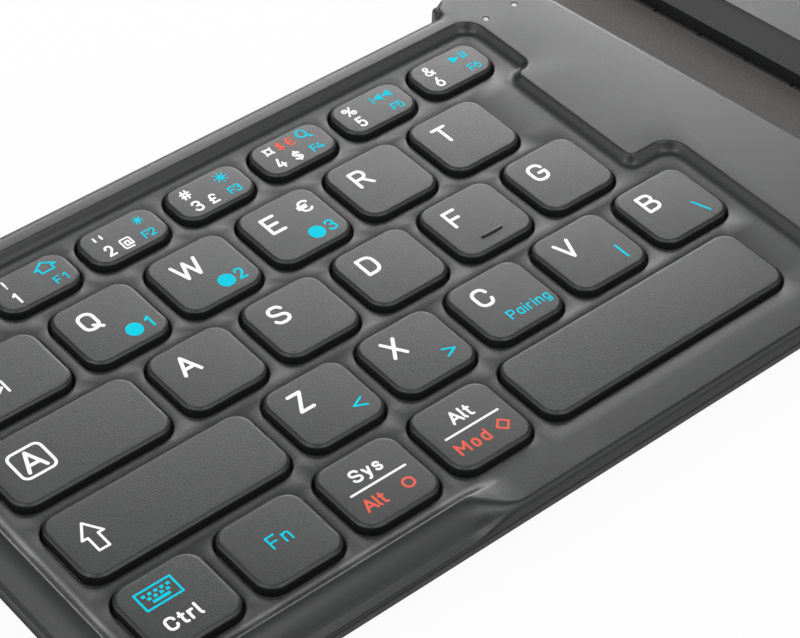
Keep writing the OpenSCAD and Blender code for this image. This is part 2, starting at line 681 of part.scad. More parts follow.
base_cover(true);  // left_base_cover
top_case(left_keys, left_tray, true, hub_y - hinge_wall);  // left_top_case
key_plate(left_plate);  // left_key_plate
membrane(left_plate);  // left_membrane
domes(left_keys);  // left_domes
scissor_links(left_keys);  // left_scissor_links
feet();  // left_feet
screws();  // left_screws
main_board();
charging_port();
status_lights();
for (k = left_keys) in_rows() cap(k);
spine_bar();
spine_cover();
hinge_pins();
flex_cable();
mirror([1, 0, 0]) base_cover(false);  // right_base_cover
mirror([1, 0, 0]) top_case(right_keys, right_tray, false, battery_front + battery_length + 1.6);  // right_top_case
mirror([1, 0, 0]) key_plate(right_plate);  // right_key_plate
mirror([1, 0, 0]) membrane(right_plate);  // right_membrane
mirror([1, 0, 0]) domes(right_keys);  // right_domes
mirror([1, 0, 0]) scissor_links(right_keys);  // right_scissor_links
mirror([1, 0, 0]) feet();  // right_feet
mirror([1, 0, 0]) screws();  // right_screws
battery();
for (k = right_keys) mirror([1, 0, 0]) in_rows() cap(k);
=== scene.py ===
"""Looks of the folding keyboard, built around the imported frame.

Lengths are millimetres inside the functions and become metres in solid(). A leaf's pieces are drawn in its
row frame: u along the key rows towards the spine, v away from the typist, heights above the table. The left
leaf is turned and shifted into the object's frame, and the right one is also mirrored.
"""
from math import cos, pi, radians, sin, tau

import bmesh
import bpy
import numpy as np
from mathutils import Matrix, Vector
from mathutils.geometry import delaunay_2d_cdt


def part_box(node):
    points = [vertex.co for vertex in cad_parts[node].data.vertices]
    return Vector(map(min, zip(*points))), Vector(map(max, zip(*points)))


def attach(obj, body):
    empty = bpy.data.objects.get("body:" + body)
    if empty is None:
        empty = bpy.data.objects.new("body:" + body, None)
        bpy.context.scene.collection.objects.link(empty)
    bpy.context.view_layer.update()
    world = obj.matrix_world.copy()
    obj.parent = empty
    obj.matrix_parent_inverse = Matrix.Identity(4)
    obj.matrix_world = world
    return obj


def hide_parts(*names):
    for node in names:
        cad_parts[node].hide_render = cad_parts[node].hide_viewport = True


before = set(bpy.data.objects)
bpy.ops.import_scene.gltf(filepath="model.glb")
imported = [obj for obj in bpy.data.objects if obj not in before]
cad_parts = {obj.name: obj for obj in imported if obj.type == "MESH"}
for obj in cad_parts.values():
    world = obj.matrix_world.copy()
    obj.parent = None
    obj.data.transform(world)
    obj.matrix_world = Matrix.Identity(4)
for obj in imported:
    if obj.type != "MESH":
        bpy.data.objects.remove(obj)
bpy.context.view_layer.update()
MM = 0.001

# ------------------------------------------------------------------ sizes of the frame, as packed
# The rows' turn from square to the hinges, and the place of the row frame's zero
ROW_ANGLE = radians(7.4)
CENTRE_REACH = 118.8
ROW_ZERO_Y = 24.93536571584185
# A leaf's outline and its corners, the hinge side, the hub at its back
LEAF_SIDE, LEAF_FRONT, LEAF_BACK = 41.9, 66.9, 27.5
LEAF_CORNER, HINGE_CORNER, HUB_CORNER = 10.0, 3.0, 1.0
SIDE_X, HINGE_WALL = 8.8, 1.8
HUB_REACH, HUB_WIDTH = 17.8, 16.6
# The tray's outline and its steps
TRAY_LEFT, TRAY_FRONT, TRAY_BACK = -36.4, -60.845, 22.65
TRAY_CORNER, NOSE = 3.5, 1.8
NUMBER_EDGE, LEFT_HOME_EDGE, LEFT_LOWER_EDGE = 92.95, 89.3, 98.3
RIGHT_UPPER_EDGE, RIGHT_HOME_EDGE = 100.5, 94.7
NUMBER_STEP, LOWER_STEP, RIGHT_STEP = 6.8375, -21.955, -9.015
# Heights of the case
PARTING, TRAY_UNDER, TRAY, PLATEAU = 3.9, 5.27, 6.67, 8.2
# Caps, their stroke and the openings round them
CAP_TOP, CAP_UNDER, CAP_HEIGHT, CAP_SKIRT = 7.8, 6.8, 2.0, 1.0
CAP_CORNER, HOLE_GAP, STROKE, SEAT_GAP = 3.0, 0.5, 1.2, 0.05
KEY_PITCH, CAP_W, CAP_D = 18.0, 15.0, 14.05
NUMBER_PITCH, NUMBER_W, NUMBER_D = 17.15, 14.5, 8.7
BLOCK_REACH, SPACE_W, ARROW_GAP = 32.4, 50.2, 1.0
# Places of the rows, and each row's first key from the upper row's
ROW_V = {"number": 14.6, "upper": 0.0, "home": -16.94, "lower": -33.88, "bottom": -50.82}
NUMBER_SHIFT, HOME_SHIFT, LOWER_SHIFT, BOTTOM_SHIFT = -4.05, 5.8, 14.8, -7.0
RIGHT_REACH = 89.0
# The charging port in the left hub
PORT_X, PORT_HALF, PORT_TOP = 16.55, 4.67, 6.56


def to_object(points, mirrored=False):
    """Row frame to object frame: a turn by ROW_ANGLE and a shift, then the mirror for the right leaf."""
    p = np.asarray(points, float)
    out = p.copy()
    out[:, 0] = -CENTRE_REACH + p[:, 0] * cos(ROW_ANGLE) + p[:, 1] * sin(ROW_ANGLE)
    out[:, 1] = ROW_ZERO_Y + p[:, 1] * cos(ROW_ANGLE) - p[:, 0] * sin(ROW_ANGLE)
    if mirrored:
        out[:, 0] *= -1
    return out


def from_object(x, y):
    """Object frame to row frame, for the left leaf."""
    dx, dy = x + CENTRE_REACH, y - ROW_ZERO_Y
    return dx * cos(ROW_ANGLE) - dy * sin(ROW_ANGLE), dx * sin(ROW_ANGLE) + dy * cos(ROW_ANGLE)


# ------------------------------------------------------------------ finishes
GRAIN_DEPTH = 0.1 * MM
PLAIN_DRIFT, PATCHES = 90.0, 60.0
# Near black: the hinge barrels' own colour, also laid as painted shade over the groove by the spine
BARREL_BLACK_AND_GAP_SHADE = (0.008, 0.008, 0.008, 1)


def feed(tree, node, inputs):
    """Each input takes its value, or is fed by another node's socket."""
    for name, value in inputs.items():
        if isinstance(value, bpy.types.NodeSocket):
            tree.links.new(value, node.inputs[name])
        else:
            node.inputs[name].default_value = value


def wired(tree, kind, inputs, **settings):
    """A new shader node of one kind, with its inputs fed."""
    node = tree.nodes.new("ShaderNode" + kind)
    for setting, value in settings.items():
        setattr(node, setting, value)
    feed(tree, node, inputs)
    return node


def finish(name, colour, roughness, grain=0.0, grain_scale=1500.0, mottle=0.0, metallic=0.0,
           coat=0.0, specular=0.5, rough_spread=0.0, barrel_black_and_gap_shade_within=0.0):
    """A moulded or painted finish: a fine grain in the bump, a slow drift of tone and of roughness.

    With the last argument, the finish turns near black where |x| is below it: the hinges' barrels are black,
    and the groove by the spine round them gets painted shade.
    """
    m = bpy.data.materials.new(name)
    m.use_nodes = True
    tree = m.node_tree
    place = tree.nodes.new("ShaderNodeTexCoord").outputs["Object"]

    def noise(scale, detail):
        """Noise over the piece's own coordinates."""
        return wired(tree, "TexNoise", {"Scale": scale, "Detail": detail, "Vector": place}).outputs["Fac"]

    drift = noise(grain_scale * 0.8 if mottle and grain else PLAIN_DRIFT, 3.0)
    ramp = wired(tree, "ValToRGB", {"Fac": drift})
    for stop, at, side in zip(ramp.color_ramp.elements, (0.35, 0.65), (-1, 1)):
        stop.position = at
        stop.color = (*np.clip(np.array(colour) * (1 + side * mottle), 0, 1), 1)
    tone = ramp.outputs["Color"]
    # Painted shade: where |x| is small the tone turns near black, the barrels' own black plus the groove's
    # shade painted into the colour
    if barrel_black_and_gap_shade_within:
        x = wired(tree, "SeparateXYZ", {0: place}).outputs["X"]
        size = wired(tree, "Math", {0: x}, operation="ABSOLUTE").outputs[0]
        near = wired(tree, "Math", {0: size, 1: barrel_black_and_gap_shade_within}, operation="LESS_THAN").outputs[0]
        tone = wired(tree, "MixRGB", {"Fac": near, "Color1": tone, "Color2": BARREL_BLACK_AND_GAP_SHADE}).outputs["Color"]
    shader = tree.nodes["Principled BSDF"]
    feed(tree, shader, {"Base Color": tone, "Roughness": roughness, "Metallic": metallic, "Coat Weight": coat,
                        "Specular IOR Level": specular})
    if rough_spread:
        span = wired(tree, "MapRange", {"Value": noise(PATCHES, 2.0), "To Min": roughness - rough_spread,
                                        "To Max": roughness + rough_spread})
        feed(tree, shader, {"Roughness": span.outputs["Result"]})
    if grain:
        fine = noise(grain_scale, 2.0)
        bump = wired(tree, "Bump", {"Height": fine, "Strength": grain, "Distance": GRAIN_DEPTH})
        feed(tree, shader, {"Normal": bump.outputs["Normal"]})
    return m


KEYBOARD_GREY = (0.017, 0.018, 0.018)
CASE = finish("case plastic", KEYBOARD_GREY, 0.41, grain=0.22, grain_scale=5200, mottle=0.10,
              rough_spread=0.02)
CAP = finish("cap plastic", KEYBOARD_GREY, 0.42, grain=0.44, grain_scale=4600, mottle=0.12,
             rough_spread=0.02)
# The base covers turn near black within 8.75 mm of the middle: the barrels' own black, and painted shade in
# the groove by the spine
BASE = finish("base cover plastic", (0.022, 0.023, 0.023), 0.48, grain=0.35, grain_scale=4200, mottle=0.06,
              barrel_black_and_gap_shade_within=0.00875)
COVER = finish("spine cover film", (0.058, 0.055, 0.053), 0.66, grain=0.7, grain_scale=5600, mottle=0.22)
SPINE = finish("spine bar plastic", (0.010, 0.010, 0.010), 0.62, grain=0.4, mottle=0.05)
STEEL = finish("bright steel", (0.62, 0.62, 0.63), 0.28, grain=0.15, grain_scale=900, mottle=0.04,
               metallic=1.0)
DARK_STEEL = finish("blackened steel", (0.07, 0.07, 0.075), 0.35, grain=0.2, grain_scale=900, mottle=0.05,
                    metallic=0.9)
MEMBRANE = finish("membrane film", (0.62, 0.58, 0.48), 0.35, mottle=0.05)
DOME = finish("dome rubber", (0.55, 0.57, 0.59), 0.55, grain=0.2, mottle=0.05)
LINK = finish("scissor link plastic", (0.72, 0.72, 0.69), 0.42, mottle=0.03)
FOOT = finish("foot rubber", (0.018, 0.018, 0.019), 0.78, grain=0.6, grain_scale=1300, mottle=0.15)
BOARD = finish("board lacquer", (0.02, 0.12, 0.06), 0.35, mottle=0.12, coat=0.3)
LIGHT = finish("light guide", (0.30, 0.31, 0.32), 0.22, mottle=0.03)
BATTERY = finish("battery foil", (0.45, 0.48, 0.52), 0.35, grain=0.3, grain_scale=400, mottle=0.05,
                 metallic=0.6)
FLEX = finish("flex cable film", (0.45, 0.22, 0.06), 0.38, mottle=0.06)
INK_WHITE = finish("white key ink", (0.93, 0.93, 0.93), 0.45, mottle=0.02, specular=0.1)
INK_CYAN = finish("cyan key ink", (0.0, 0.56, 0.72), 0.6, mottle=0.03, specular=0.05)
INK_CORAL = finish("coral key ink", (0.76, 0.13, 0.085), 0.6, mottle=0.03, specular=0.05)


# ------------------------------------------------------------------ making meshes
CREASE = radians(35)


def solid(name, points, faces, material, body, nodes=()):
    """Closed mesh from millimetre points: doubles merged, faces turned outwards, edges sharp past CREASE."""
    mesh = bpy.data.meshes.new(name)
    mesh.from_pydata((np.asarray(points) * MM).tolist(), [], [list(f) for f in faces])
    work = bmesh.new()
    work.from_mesh(mesh)
    bmesh.ops.remove_doubles(work, verts=work.verts, dist=1e-7)
    bmesh.ops.recalc_face_normals(work, faces=work.faces)
    work.to_mesh(mesh)
    work.free()
    mesh.shade_smooth()
    mesh.set_sharp_from_angle(angle=CREASE)
    mesh.materials.append(material)
    piece = bpy.data.objects.new(name, mesh)
    bpy.context.scene.collection.objects.link(piece)
    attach(piece, body)
    if nodes:
        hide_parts(*nodes)
    return piece


def rounded(corners, steps=14):
    """Closed outline through corners (x, y, radius): each corner becomes an arc tangent to its two sides."""
    out = []
    count = len(corners)
    for i in range(count):
        before, at, after = (np.array(corners[(i + k) % count][:2], float) for k in (-1, 0, 1))
        r = corners[i][2]
        if r == 0:
            out.append(at[None])
            continue
        d1, d2 = before - at, after - at
        d1, d2 = d1 / np.hypot(*d1), d2 / np.hypot(*d2)
        half = np.arccos(np.clip(d1 @ d2, -1, 1)) / 2
        axis = d1 + d2
        middle = at + axis / np.hypot(*axis) * r / sin(half)
        first = at + d1 * r / np.tan(half) - middle
        sweep = (pi - 2 * half) * np.sign(d2[0] * d1[1] - d2[1] * d1[0])
        a = np.linspace(0, sweep, steps + 1)
        out.append(middle + np.column_stack([first[0] * np.cos(a) - first[1] * np.sin(a),
                                             first[0] * np.sin(a) + first[1] * np.cos(a)]))
    return np.vstack(out)


def resample(loop, longest):
    """Splits each side of a closed outline into equal parts no longer than longest."""
    after = np.roll(loop, -1, 0)
    parts = np.maximum(1, np.ceil(np.hypot(*(after - loop).T) / longest)).astype(int)
    start, end = np.repeat(loop, parts, 0), np.repeat(after, parts, 0)
    first = np.repeat(np.cumsum(parts) - parts, parts)
    share = (np.arange(parts.sum()) - first) / np.repeat(parts, parts)
    return start + (end - start) * share[:, None]


def normals(loop):
    """Outward unit normals at the corners of a closed outline that runs counter-clockwise."""
    side = np.roll(loop, -1, 0) - loop
    side = side / np.maximum(np.hypot(*side.T), 1e-9)[:, None]
    mean = side + np.roll(side, 1, 0)
    mean = mean / np.maximum(np.hypot(*mean.T), 1e-9)[:, None]
    return np.column_stack([mean[:, 1], -mean[:, 0]])


def turn_ccw(loop):
    """The outline run counter-clockwise, by the sign of the area it encloses."""
    x, y = loop.T
    area = np.sum(x * np.roll(y, -1) - np.roll(x, -1) * y)
    return loop if area > 0 else loop[::-1]


def box_loop(width, depth, radius, steps=8):
    """Rounded rectangle about zero."""
    w, d = width / 2, depth / 2
    return rounded([(-w, -d, radius), (w, -d, radius), (w, d, radius), (-w, d, radius)], steps)


def disc(u, v, radius, count=28):
    """A filled circle as an outline."""
    a = np.linspace(0, tau, count + 1)[:-1]
    return np.array([u, v]) + radius * np.column_stack([np.cos(a), np.sin(a)])


def loft(rings):
    """Skin over a stack of rings with equal point counts: quads between rings, one face at each end."""
    n = len(rings[0])
    points = np.vstack(rings)
    k = np.arange(n)
    after = (k + 1) % n
    quads = np.vstack([np.column_stack([k, after, after + n, k + n]) + i * n for i in range(len(rings) - 1)])
    faces = [tuple(q) for q in quads] + [tuple(k[::-1]), tuple(k + (len(rings) - 1) * n)]
    return points, faces


def joined(parts):
    """Several (points, faces) as one."""
    points, faces, start = [], [], 0
    for p, f in parts:
        points.append(p)
        faces += [tuple(int(i) + start for i in face) for face in f]
        start += len(p)
    return np.vstack(points), faces


def inside(points, loop):
    """Even-odd test of many points against one outline, by counting the sides crossed along x."""
    x, y = points[:, 0][:, None], points[:, 1][:, None]
    x1, y1 = loop.T
    x2, y2 = np.roll(loop, -1, 0).T
    crosses = (y1 > y) != (y2 > y)
    at = x1 + (y - y1) * (x2 - x1) / np.where(y2 == y1, 1e-12, y2 - y1)
    return (np.sum(crosses & (x < at), 1) % 2).astype(bool)


def distance(points, loop, block=2000):
    """Least distance from each point to an outline's sides, and the place along it as side plus share."""
    a, b = loop, np.roll(loop, -1, 0)
    ab = b - a
    length = np.maximum((ab ** 2).sum(1), 1e-12)
    best, where = [], []
    for i in range(0, len(points), block):
        p = points[i:i + block][:, None]
        t = np.clip(((p - a) * ab).sum(2) / length, 0, 1)
        gap = np.sqrt((((a + t[..., None] * ab) - p) ** 2).sum(2))
        j = gap.argmin(1)
        rows = np.arange(len(j))
        best.append(gap[rows, j])
        where.append(j + t[rows, j])
    return np.concatenate(best), np.concatenate(where)


def box_distance(points, key, grow):
    """Signed distance to a key's rounded hole, negative inside."""
    _, u, v, w, d = key
    r = CAP_CORNER + grow
    q = np.abs(points - (u, v)) - (w / 2 + grow - r, d / 2 + grow - r)
    return np.hypot(*np.maximum(q, 0).T) + np.minimum(q.max(1), 0) - r


def plan(boundary, holes, guides):
    """Triangles of a flat region: its boundary, the holes in it, and guide outlines that edges follow."""
    loops = [boundary] + list(holes) + list(guides)
    points = np.vstack(loops)
    edges, start = [], 0
    for loop in loops:
        k = np.arange(len(loop))
        edges.append(np.column_stack([k, (k + 1) % len(loop)]) + start)
        start += len(loop)
    corners = [Vector(p) for p in points.tolist()]
    made = delaunay_2d_cdt(corners, np.vstack(edges).tolist(), [], 0, 1e-4, False)
    flat = np.array([tuple(v) for v in made[0]])
    triangles = np.array([f for f in made[2]])
    middles = flat[triangles].mean(1)
    keep = inside(middles, boundary)
    for hole in holes:
        keep &= ~inside(middles, hole)
    triangles = triangles[keep]
    used, back = np.unique(triangles, return_inverse=True)
    return flat[used], back.reshape(triangles.shape)


def shell(flat, triangles, top, bottom):
    """Closed body between two heights over the same plan, with walls along every free edge."""
    n = len(flat)
    points = np.vstack([np.column_stack([flat, top]), np.column_stack([flat, bottom])])
    a = triangles
    sides = np.vstack([a[:, [0, 1]], a[:, [1, 2]], a[:, [2, 0]]])
    code = np.sort(sides, 1) @ [n, 1]
    _, index, count = np.unique(code, return_index=True, return_counts=True)
    free = sides[index[count == 1]]
    walls = np.column_stack([free[:, 1], free[:, 0], free[:, 0] + n, free[:, 1] + n])
    faces = a.tolist() + (a[:, ::-1] + n).tolist() + walls.tolist()
    return points, faces


def smooth(x, low, high):
    """0 below low, 1 above high, and a soft S between."""
    t = np.clip((x - low) / (high - low), 0, 1)
    return t * t * (3 - 2 * t)


# ------------------------------------------------------------------ the keys
def run(names, first, pitch, row, w=CAP_W, d=CAP_D):
    """Keys (name, u, v, width, depth) at one pitch."""
    return [(n, first + i * pitch, ROW_V[row], w, d) for i, n in enumerate(names)]


def filler(name, to, row, d=CAP_D):
    """The wide key that fills a row from the block's outer end as far as to."""
    return [(name, (to - BLOCK_REACH) / 2, ROW_V[row], to + BLOCK_REACH, d)]


GAP = KEY_PITCH - CAP_W
NUMBER_TO = NUMBER_SHIFT - NUMBER_W / 2 - (NUMBER_PITCH - NUMBER_W)
SPACE_U = BOTTOM_SHIFT + 2 * KEY_PITCH + CAP_W / 2 + GAP + SPACE_W / 2
LEFT_KEYS = (
    filler("key_escape", NUMBER_TO, "number", NUMBER_D)
    + run([f"key_{i}" for i in range(1, 7)], NUMBER_SHIFT, NUMBER_PITCH, "number", NUMBER_W, NUMBER_D)
    + filler("key_tab", -CAP_W / 2 - GAP, "upper")
    + run(["key_q", "key_w", "key_e", "key_r", "key_t"], 0, KEY_PITCH, "upper")
    + filler("key_caps_lock", HOME_SHIFT - CAP_W / 2 - GAP, "home")
    + run(["key_a", "key_s", "key_d", "key_f", "key_g"], HOME_SHIFT, KEY_PITCH, "home")
    + filler("key_shift", LOWER_SHIFT - CAP_W / 2 - GAP, "lower")
    + run(["key_z", "key_x", "key_c", "key_v", "key_b"], LOWER_SHIFT, KEY_PITCH, "lower")
    + filler("key_control", BOTTOM_SHIFT - CAP_W / 2 - GAP, "bottom")
    + run(["key_function", "key_system", "key_alt"], BOTTOM_SHIFT, KEY_PITCH, "bottom")
    + [("space_bar", SPACE_U, ROW_V["bottom"], SPACE_W, CAP_D)]
)


def right_row(node, count, reach, row):
    """Keys counted from the spine outwards, with the wide key at the outer end."""
    keys = [(node, reach - i * KEY_PITCH, ROW_V[row], CAP_W, CAP_D) for i in range(count)]
    return keys + filler(node, reach - (count - 1) * KEY_PITCH - CAP_W / 2 - GAP, row)


ARROW_D = (CAP_D - ARROW_GAP) / 2
ARROW_V = (ARROW_D + ARROW_GAP) / 2
RIGHT_KEYS = (
    [("right_number_row", NUMBER_SHIFT + (5 - i) * NUMBER_PITCH, ROW_V["number"], NUMBER_W, NUMBER_D)
     for i in range(6)]
    + filler("right_number_row", NUMBER_TO, "number", NUMBER_D)
    + right_row("right_upper_row", 6, RIGHT_REACH, "upper")
    + right_row("right_home_row", 6, RIGHT_REACH - HOME_SHIFT, "home")
    + right_row("right_lower_row", 5, RIGHT_REACH - LOWER_SHIFT, "lower")
    + [("right_space_bar", SPACE_U, ROW_V["bottom"], SPACE_W, CAP_D)]
    + [("right_bottom_row", BOTTOM_SHIFT + i * KEY_PITCH, ROW_V["bottom"], CAP_W, CAP_D) for i in (2, 1)]
    + [("right_bottom_row", BOTTOM_SHIFT, ROW_V["bottom"] + s * ARROW_V, CAP_W, ARROW_D) for s in (-1, 1)]
    + filler("right_bottom_row", BOTTOM_SHIFT - CAP_W / 2 - GAP, "bottom")
)

# A cap's section as (inset, height), from its lower edge inside the hole to the middle of its top
CAP_FOOT = CAP_TOP - CAP_HEIGHT
CAP_SECTION = ((0.0, CAP_FOOT), (0.0, 7.3), (0.012, 7.42), (0.05, 7.5), (0.13, 7.565), (0.28, 7.655),
               (0.42, 7.735), (0.5, 7.772), (0.58, 7.793), (0.7, CAP_TOP))
LEAST_CORNER = 0.5


def cap_corner(depth):
    """Corner radius of a cap: less than CAP_CORNER where the cap is too short for it."""
    return min(CAP_CORNER, depth / 2 - LEAST_CORNER)


def cap(key):
    """A cap: the section above carried round the rounded rectangle, hollow below like the real one."""
    _, u, v, w, d = key
    corner = cap_corner(d)
    rings = []
    inner = ((CAP_SKIRT, CAP_UNDER), (CAP_SKIRT, CAP_FOOT))
    for inset, z in inner + CAP_SECTION:
        loop = box_loop(w - 2 * inset, d - 2 * inset, max(corner - inset, LEAST_CORNER)) + (u, v)
        rings.append(np.column_stack([loop, np.full(len(loop), z)]))
    return loft(rings)


def capsule_mound(u, v, half, radius, height, base, crown=0.35, sunk=0.2):
    """A low rounded bar: capsule outlines that shrink to a crown along a quarter circle as they rise."""
    rings = []
    for a in np.linspace(0, pi / 2, 5):
        r = radius * (crown + (1 - crown) * cos(a))
        t = np.linspace(-pi / 2, pi / 2, 9)
        end = np.column_stack([half + r * np.cos(t), r * np.sin(t)])
        loop = np.vstack([end, -end]) + (u, v)
        rings.append(np.column_stack([loop, np.full(len(loop), base + height * sin(a))]))
    rings.insert(0, rings[0] - (0, 0, sunk))
    return loft(rings)


# ------------------------------------------------------------------ a leaf's top case
OPEN_FRONT = -LEAF_FRONT - 8


def tray_path(reach, *steps):
    """A tray's corners (u, v, radius), which run out past the leaf's front edge as far along as reach."""
    return [(TRAY_LEFT, TRAY_FRONT, TRAY_CORNER), (34, TRAY_FRONT, 8), (48, OPEN_FRONT, 0),
            (reach, OPEN_FRONT, 0), *steps,
            (NUMBER_EDGE, TRAY_BACK, TRAY_CORNER), (TRAY_LEFT, TRAY_BACK, TRAY_CORNER)]


LEFT_TRAY = tray_path(
    LEFT_LOWER_EDGE, (LEFT_LOWER_EDGE, LOWER_STEP, TRAY_CORNER), (LEFT_HOME_EDGE, LOWER_STEP, NOSE),
    (LEFT_HOME_EDGE, NUMBER_STEP, NOSE), (NUMBER_EDGE, NUMBER_STEP, NOSE),
)
RIGHT_TRAY = tray_path(
    RIGHT_HOME_EDGE, (RIGHT_HOME_EDGE, RIGHT_STEP, NOSE), (RIGHT_UPPER_EDGE, RIGHT_STEP, TRAY_CORNER),
    (RIGHT_UPPER_EDGE, NUMBER_STEP + NOSE, TRAY_CORNER), (NUMBER_EDGE, NUMBER_STEP + NOSE, NOSE),
)
# Wall between tray and plateau: offset from the tray's edge, and share of the height
WALL = np.array([(-2.0, 0.0), (-1.65, 0.009), (-1.35, 0.042), (-1.05, 0.11), (-0.8, 0.197), (-0.58, 0.299),
                 (-0.38, 0.416), (-0.2, 0.538), (-0.04, 0.649), (0.11, 0.752), (0.22, 0.828), (0.32, 0.89),
                 (0.42, 0.938), (0.52, 0.973), (0.62, 0.993), (0.72, 1.0)])
# Edge towards the table: share of the width from the outline inwards, and share of the drop
BEVEL = np.array([(0.0, 0.0), (0.03, 0.07), (0.08, 0.12), (0.17, 0.17), (0.23, 0.24), (0.32, 0.40),
                  (0.45, 0.60), (0.6, 0.77), (0.75, 0.895), (0.88, 0.965), (1.0, 1.0)])
# Edge along the spine, in the same shares: a small crest on the left leaf, a slanted wall on the right one
SPINE_FORM = {
    "left": np.array([(0.0, 0.0), (0.06, 0.28), (0.14, 0.46), (0.3, 0.62), (0.6, 0.85), (0.85, 0.975),
                      (1.0, 1.0)]),
    "right": np.array([(0.0, 0.0), (0.3, 0.33), (0.6, 0.66), (0.78, 0.845), (0.9, 0.95), (1.0, 1.0)]),
}
# Styles of the leaf's edge: width, height at the outline, share that falls from the local top, weights of
# the round and of the spine's form
SIDE_EDGE = (5.5, 4.45, 0.0, 0.0, 0.0)
FRONT_EDGE = (5.9, 4.45, 0.0, 0.0, 0.0)
OPEN_EDGE = (1.1, 0.0, 1.0, 1.0, 0.0)
BACK_EDGE = (2.6, 5.2, 0.0, 1.0, 0.0)
SPINE_EDGE = {"left": (1.15, 0.68, 1.0, 0.0, 1.0), "right": (3.3, 4.05, 0.0, 0.0, 1.0)}
ROUND_DROP = 1.1
# Along u: where the front edge opens, where the back edge turns into the hub's, where the leaf's end begins
FRONT_OPENS, BACK_TURNS, SIDE_ENDS = (17.5, 26), (90, 93), 40
# Where the ridge along the front runs out: range of u, its far end, and how far back it counts
RIDGE_OUT, RIDGE_FAR, RIDGE_BACK = (17, 26.5), 70, -50
OUTLINE_INSET, OUTLINE_STEP, GUIDE_STEP = 0.06, 2.0, 1.6
# The room inside: distance from the leaf's side, front and back, u of its inner corners, corner radius
ROOM_SIDE, ROOM_FRONT, ROOM_BACK, ROOM_ENDS, ROOM_CORNER = 5.1, 5.5, 4.6, (100.0, 104.0), 2.0
# Width in plan of the underside's steps round the room and the port; the port's run past the hub's face
ROOM_STEP, PORT_STEP, PORT_PAST = 0.04, 0.03, 2.0
# Gap over the base, and the thinnest wall
SEAM, LEAST_WALL = 0.08, 0.3
# The eased edge of a hole: width, rings of points, depth; and the well over a light, in the same order
HOLE_EDGE, HOLE_RINGS, HOLE_DROP = 0.25, (0.1, 0.25), 0.14
LIGHT_WELL, LIGHT_RINGS, LIGHT_DEPTH = (0.49, 0.66), (0.5, 0.56, 0.66), 0.35


def leaf_outline():
    """The leaf's outline in the row frame, with the hub that reaches past its back edge."""
    def at(x, v):
        """The u at which the line at v comes within x of the object's middle."""
        return (CENTRE_REACH - x - v * sin(ROW_ANGLE)) / cos(ROW_ANGLE)

    def turned(x, y):
        """The turn from the object's directions to the row frame's."""
        return x * cos(ROW_ANGLE) - y * sin(ROW_ANGLE), x * sin(ROW_ANGLE) + y * cos(ROW_ANGLE)

    right = CENTRE_REACH - SIDE_X
    left = right - HUB_WIDTH
    return rounded([
        (-LEAF_SIDE, -LEAF_FRONT, LEAF_CORNER), (at(SIDE_X, -LEAF_FRONT), -LEAF_FRONT, HINGE_CORNER),
        (*turned(right, HUB_REACH), HUB_CORNER), (*turned(left, HUB_REACH), HUB_CORNER),
        (turned(left, HUB_REACH)[0] - HUB_CORNER, LEAF_BACK, HUB_CORNER / 2),
        (-LEAF_SIDE, LEAF_BACK, LEAF_CORNER),
    ])


def edge_styles(loop, side):
    """Style at each point of the outline, mixed by the squares of its normal's parts."""
    n = normals(loop)
    share = n ** 2
    fade = smooth(loop[:, 0], *FRONT_OPENS)[:, None]
    front = np.array(FRONT_EDGE) * (1 - fade) + np.array(OPEN_EDGE) * fade
    back_fade = smooth(loop[:, 0], *BACK_TURNS)[:, None]
    spine_edge = np.array(SPINE_EDGE[side])
    back = np.array(BACK_EDGE) * (1 - back_fade) + spine_edge * back_fade
    along_v = np.where((n[:, 1] < 0)[:, None], front, back)
    along_u = np.where((loop[:, 0] < SIDE_ENDS)[:, None], SIDE_EDGE, spine_edge)
    return share[:, :1] * along_u + share[:, 1:] * along_v


def ring_set(loop, offsets):
    """Copies of an outline, moved outwards along its normals."""
    n = normals(loop)
    return [loop + n * o for o in offsets]


def hole_loops(keys, grow):
    """Outlines of the openings round some keys, grown past the caps."""
    return [box_loop(w + 2 * grow, d + 2 * grow, cap_corner(d) + grow, 7) + (u, v) for _, u, v, w, d in keys]


def light_spots():
    """Row-frame places of the two lights: the middles of the node's two rods."""
    co = np.array([v.co[:2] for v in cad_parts["status_lights"].data.vertices]) / MM
    near = co[:, 0] > co[:, 0].mean()
    spots = [(co[side].min(0) + co[side].max(0)) / 2 for side in (near, ~near)]
    return [np.array(from_object(*s)) for s in spots]


def port_outline(grow):
    """The opening over the charging port, through the hub's back wall, in the row frame."""
    hub_y = ROW_ZERO_Y + HUB_REACH
    left, right = -PORT_X - PORT_HALF - grow, -PORT_X + PORT_HALF + grow
    near, far = hub_y - HINGE_WALL - grow, hub_y + PORT_PAST
    corners = ((left, near), (right, near), (right, far), (left, far))
    return turn_ccw(np.array([from_object(x, y) for x, y in corners]))


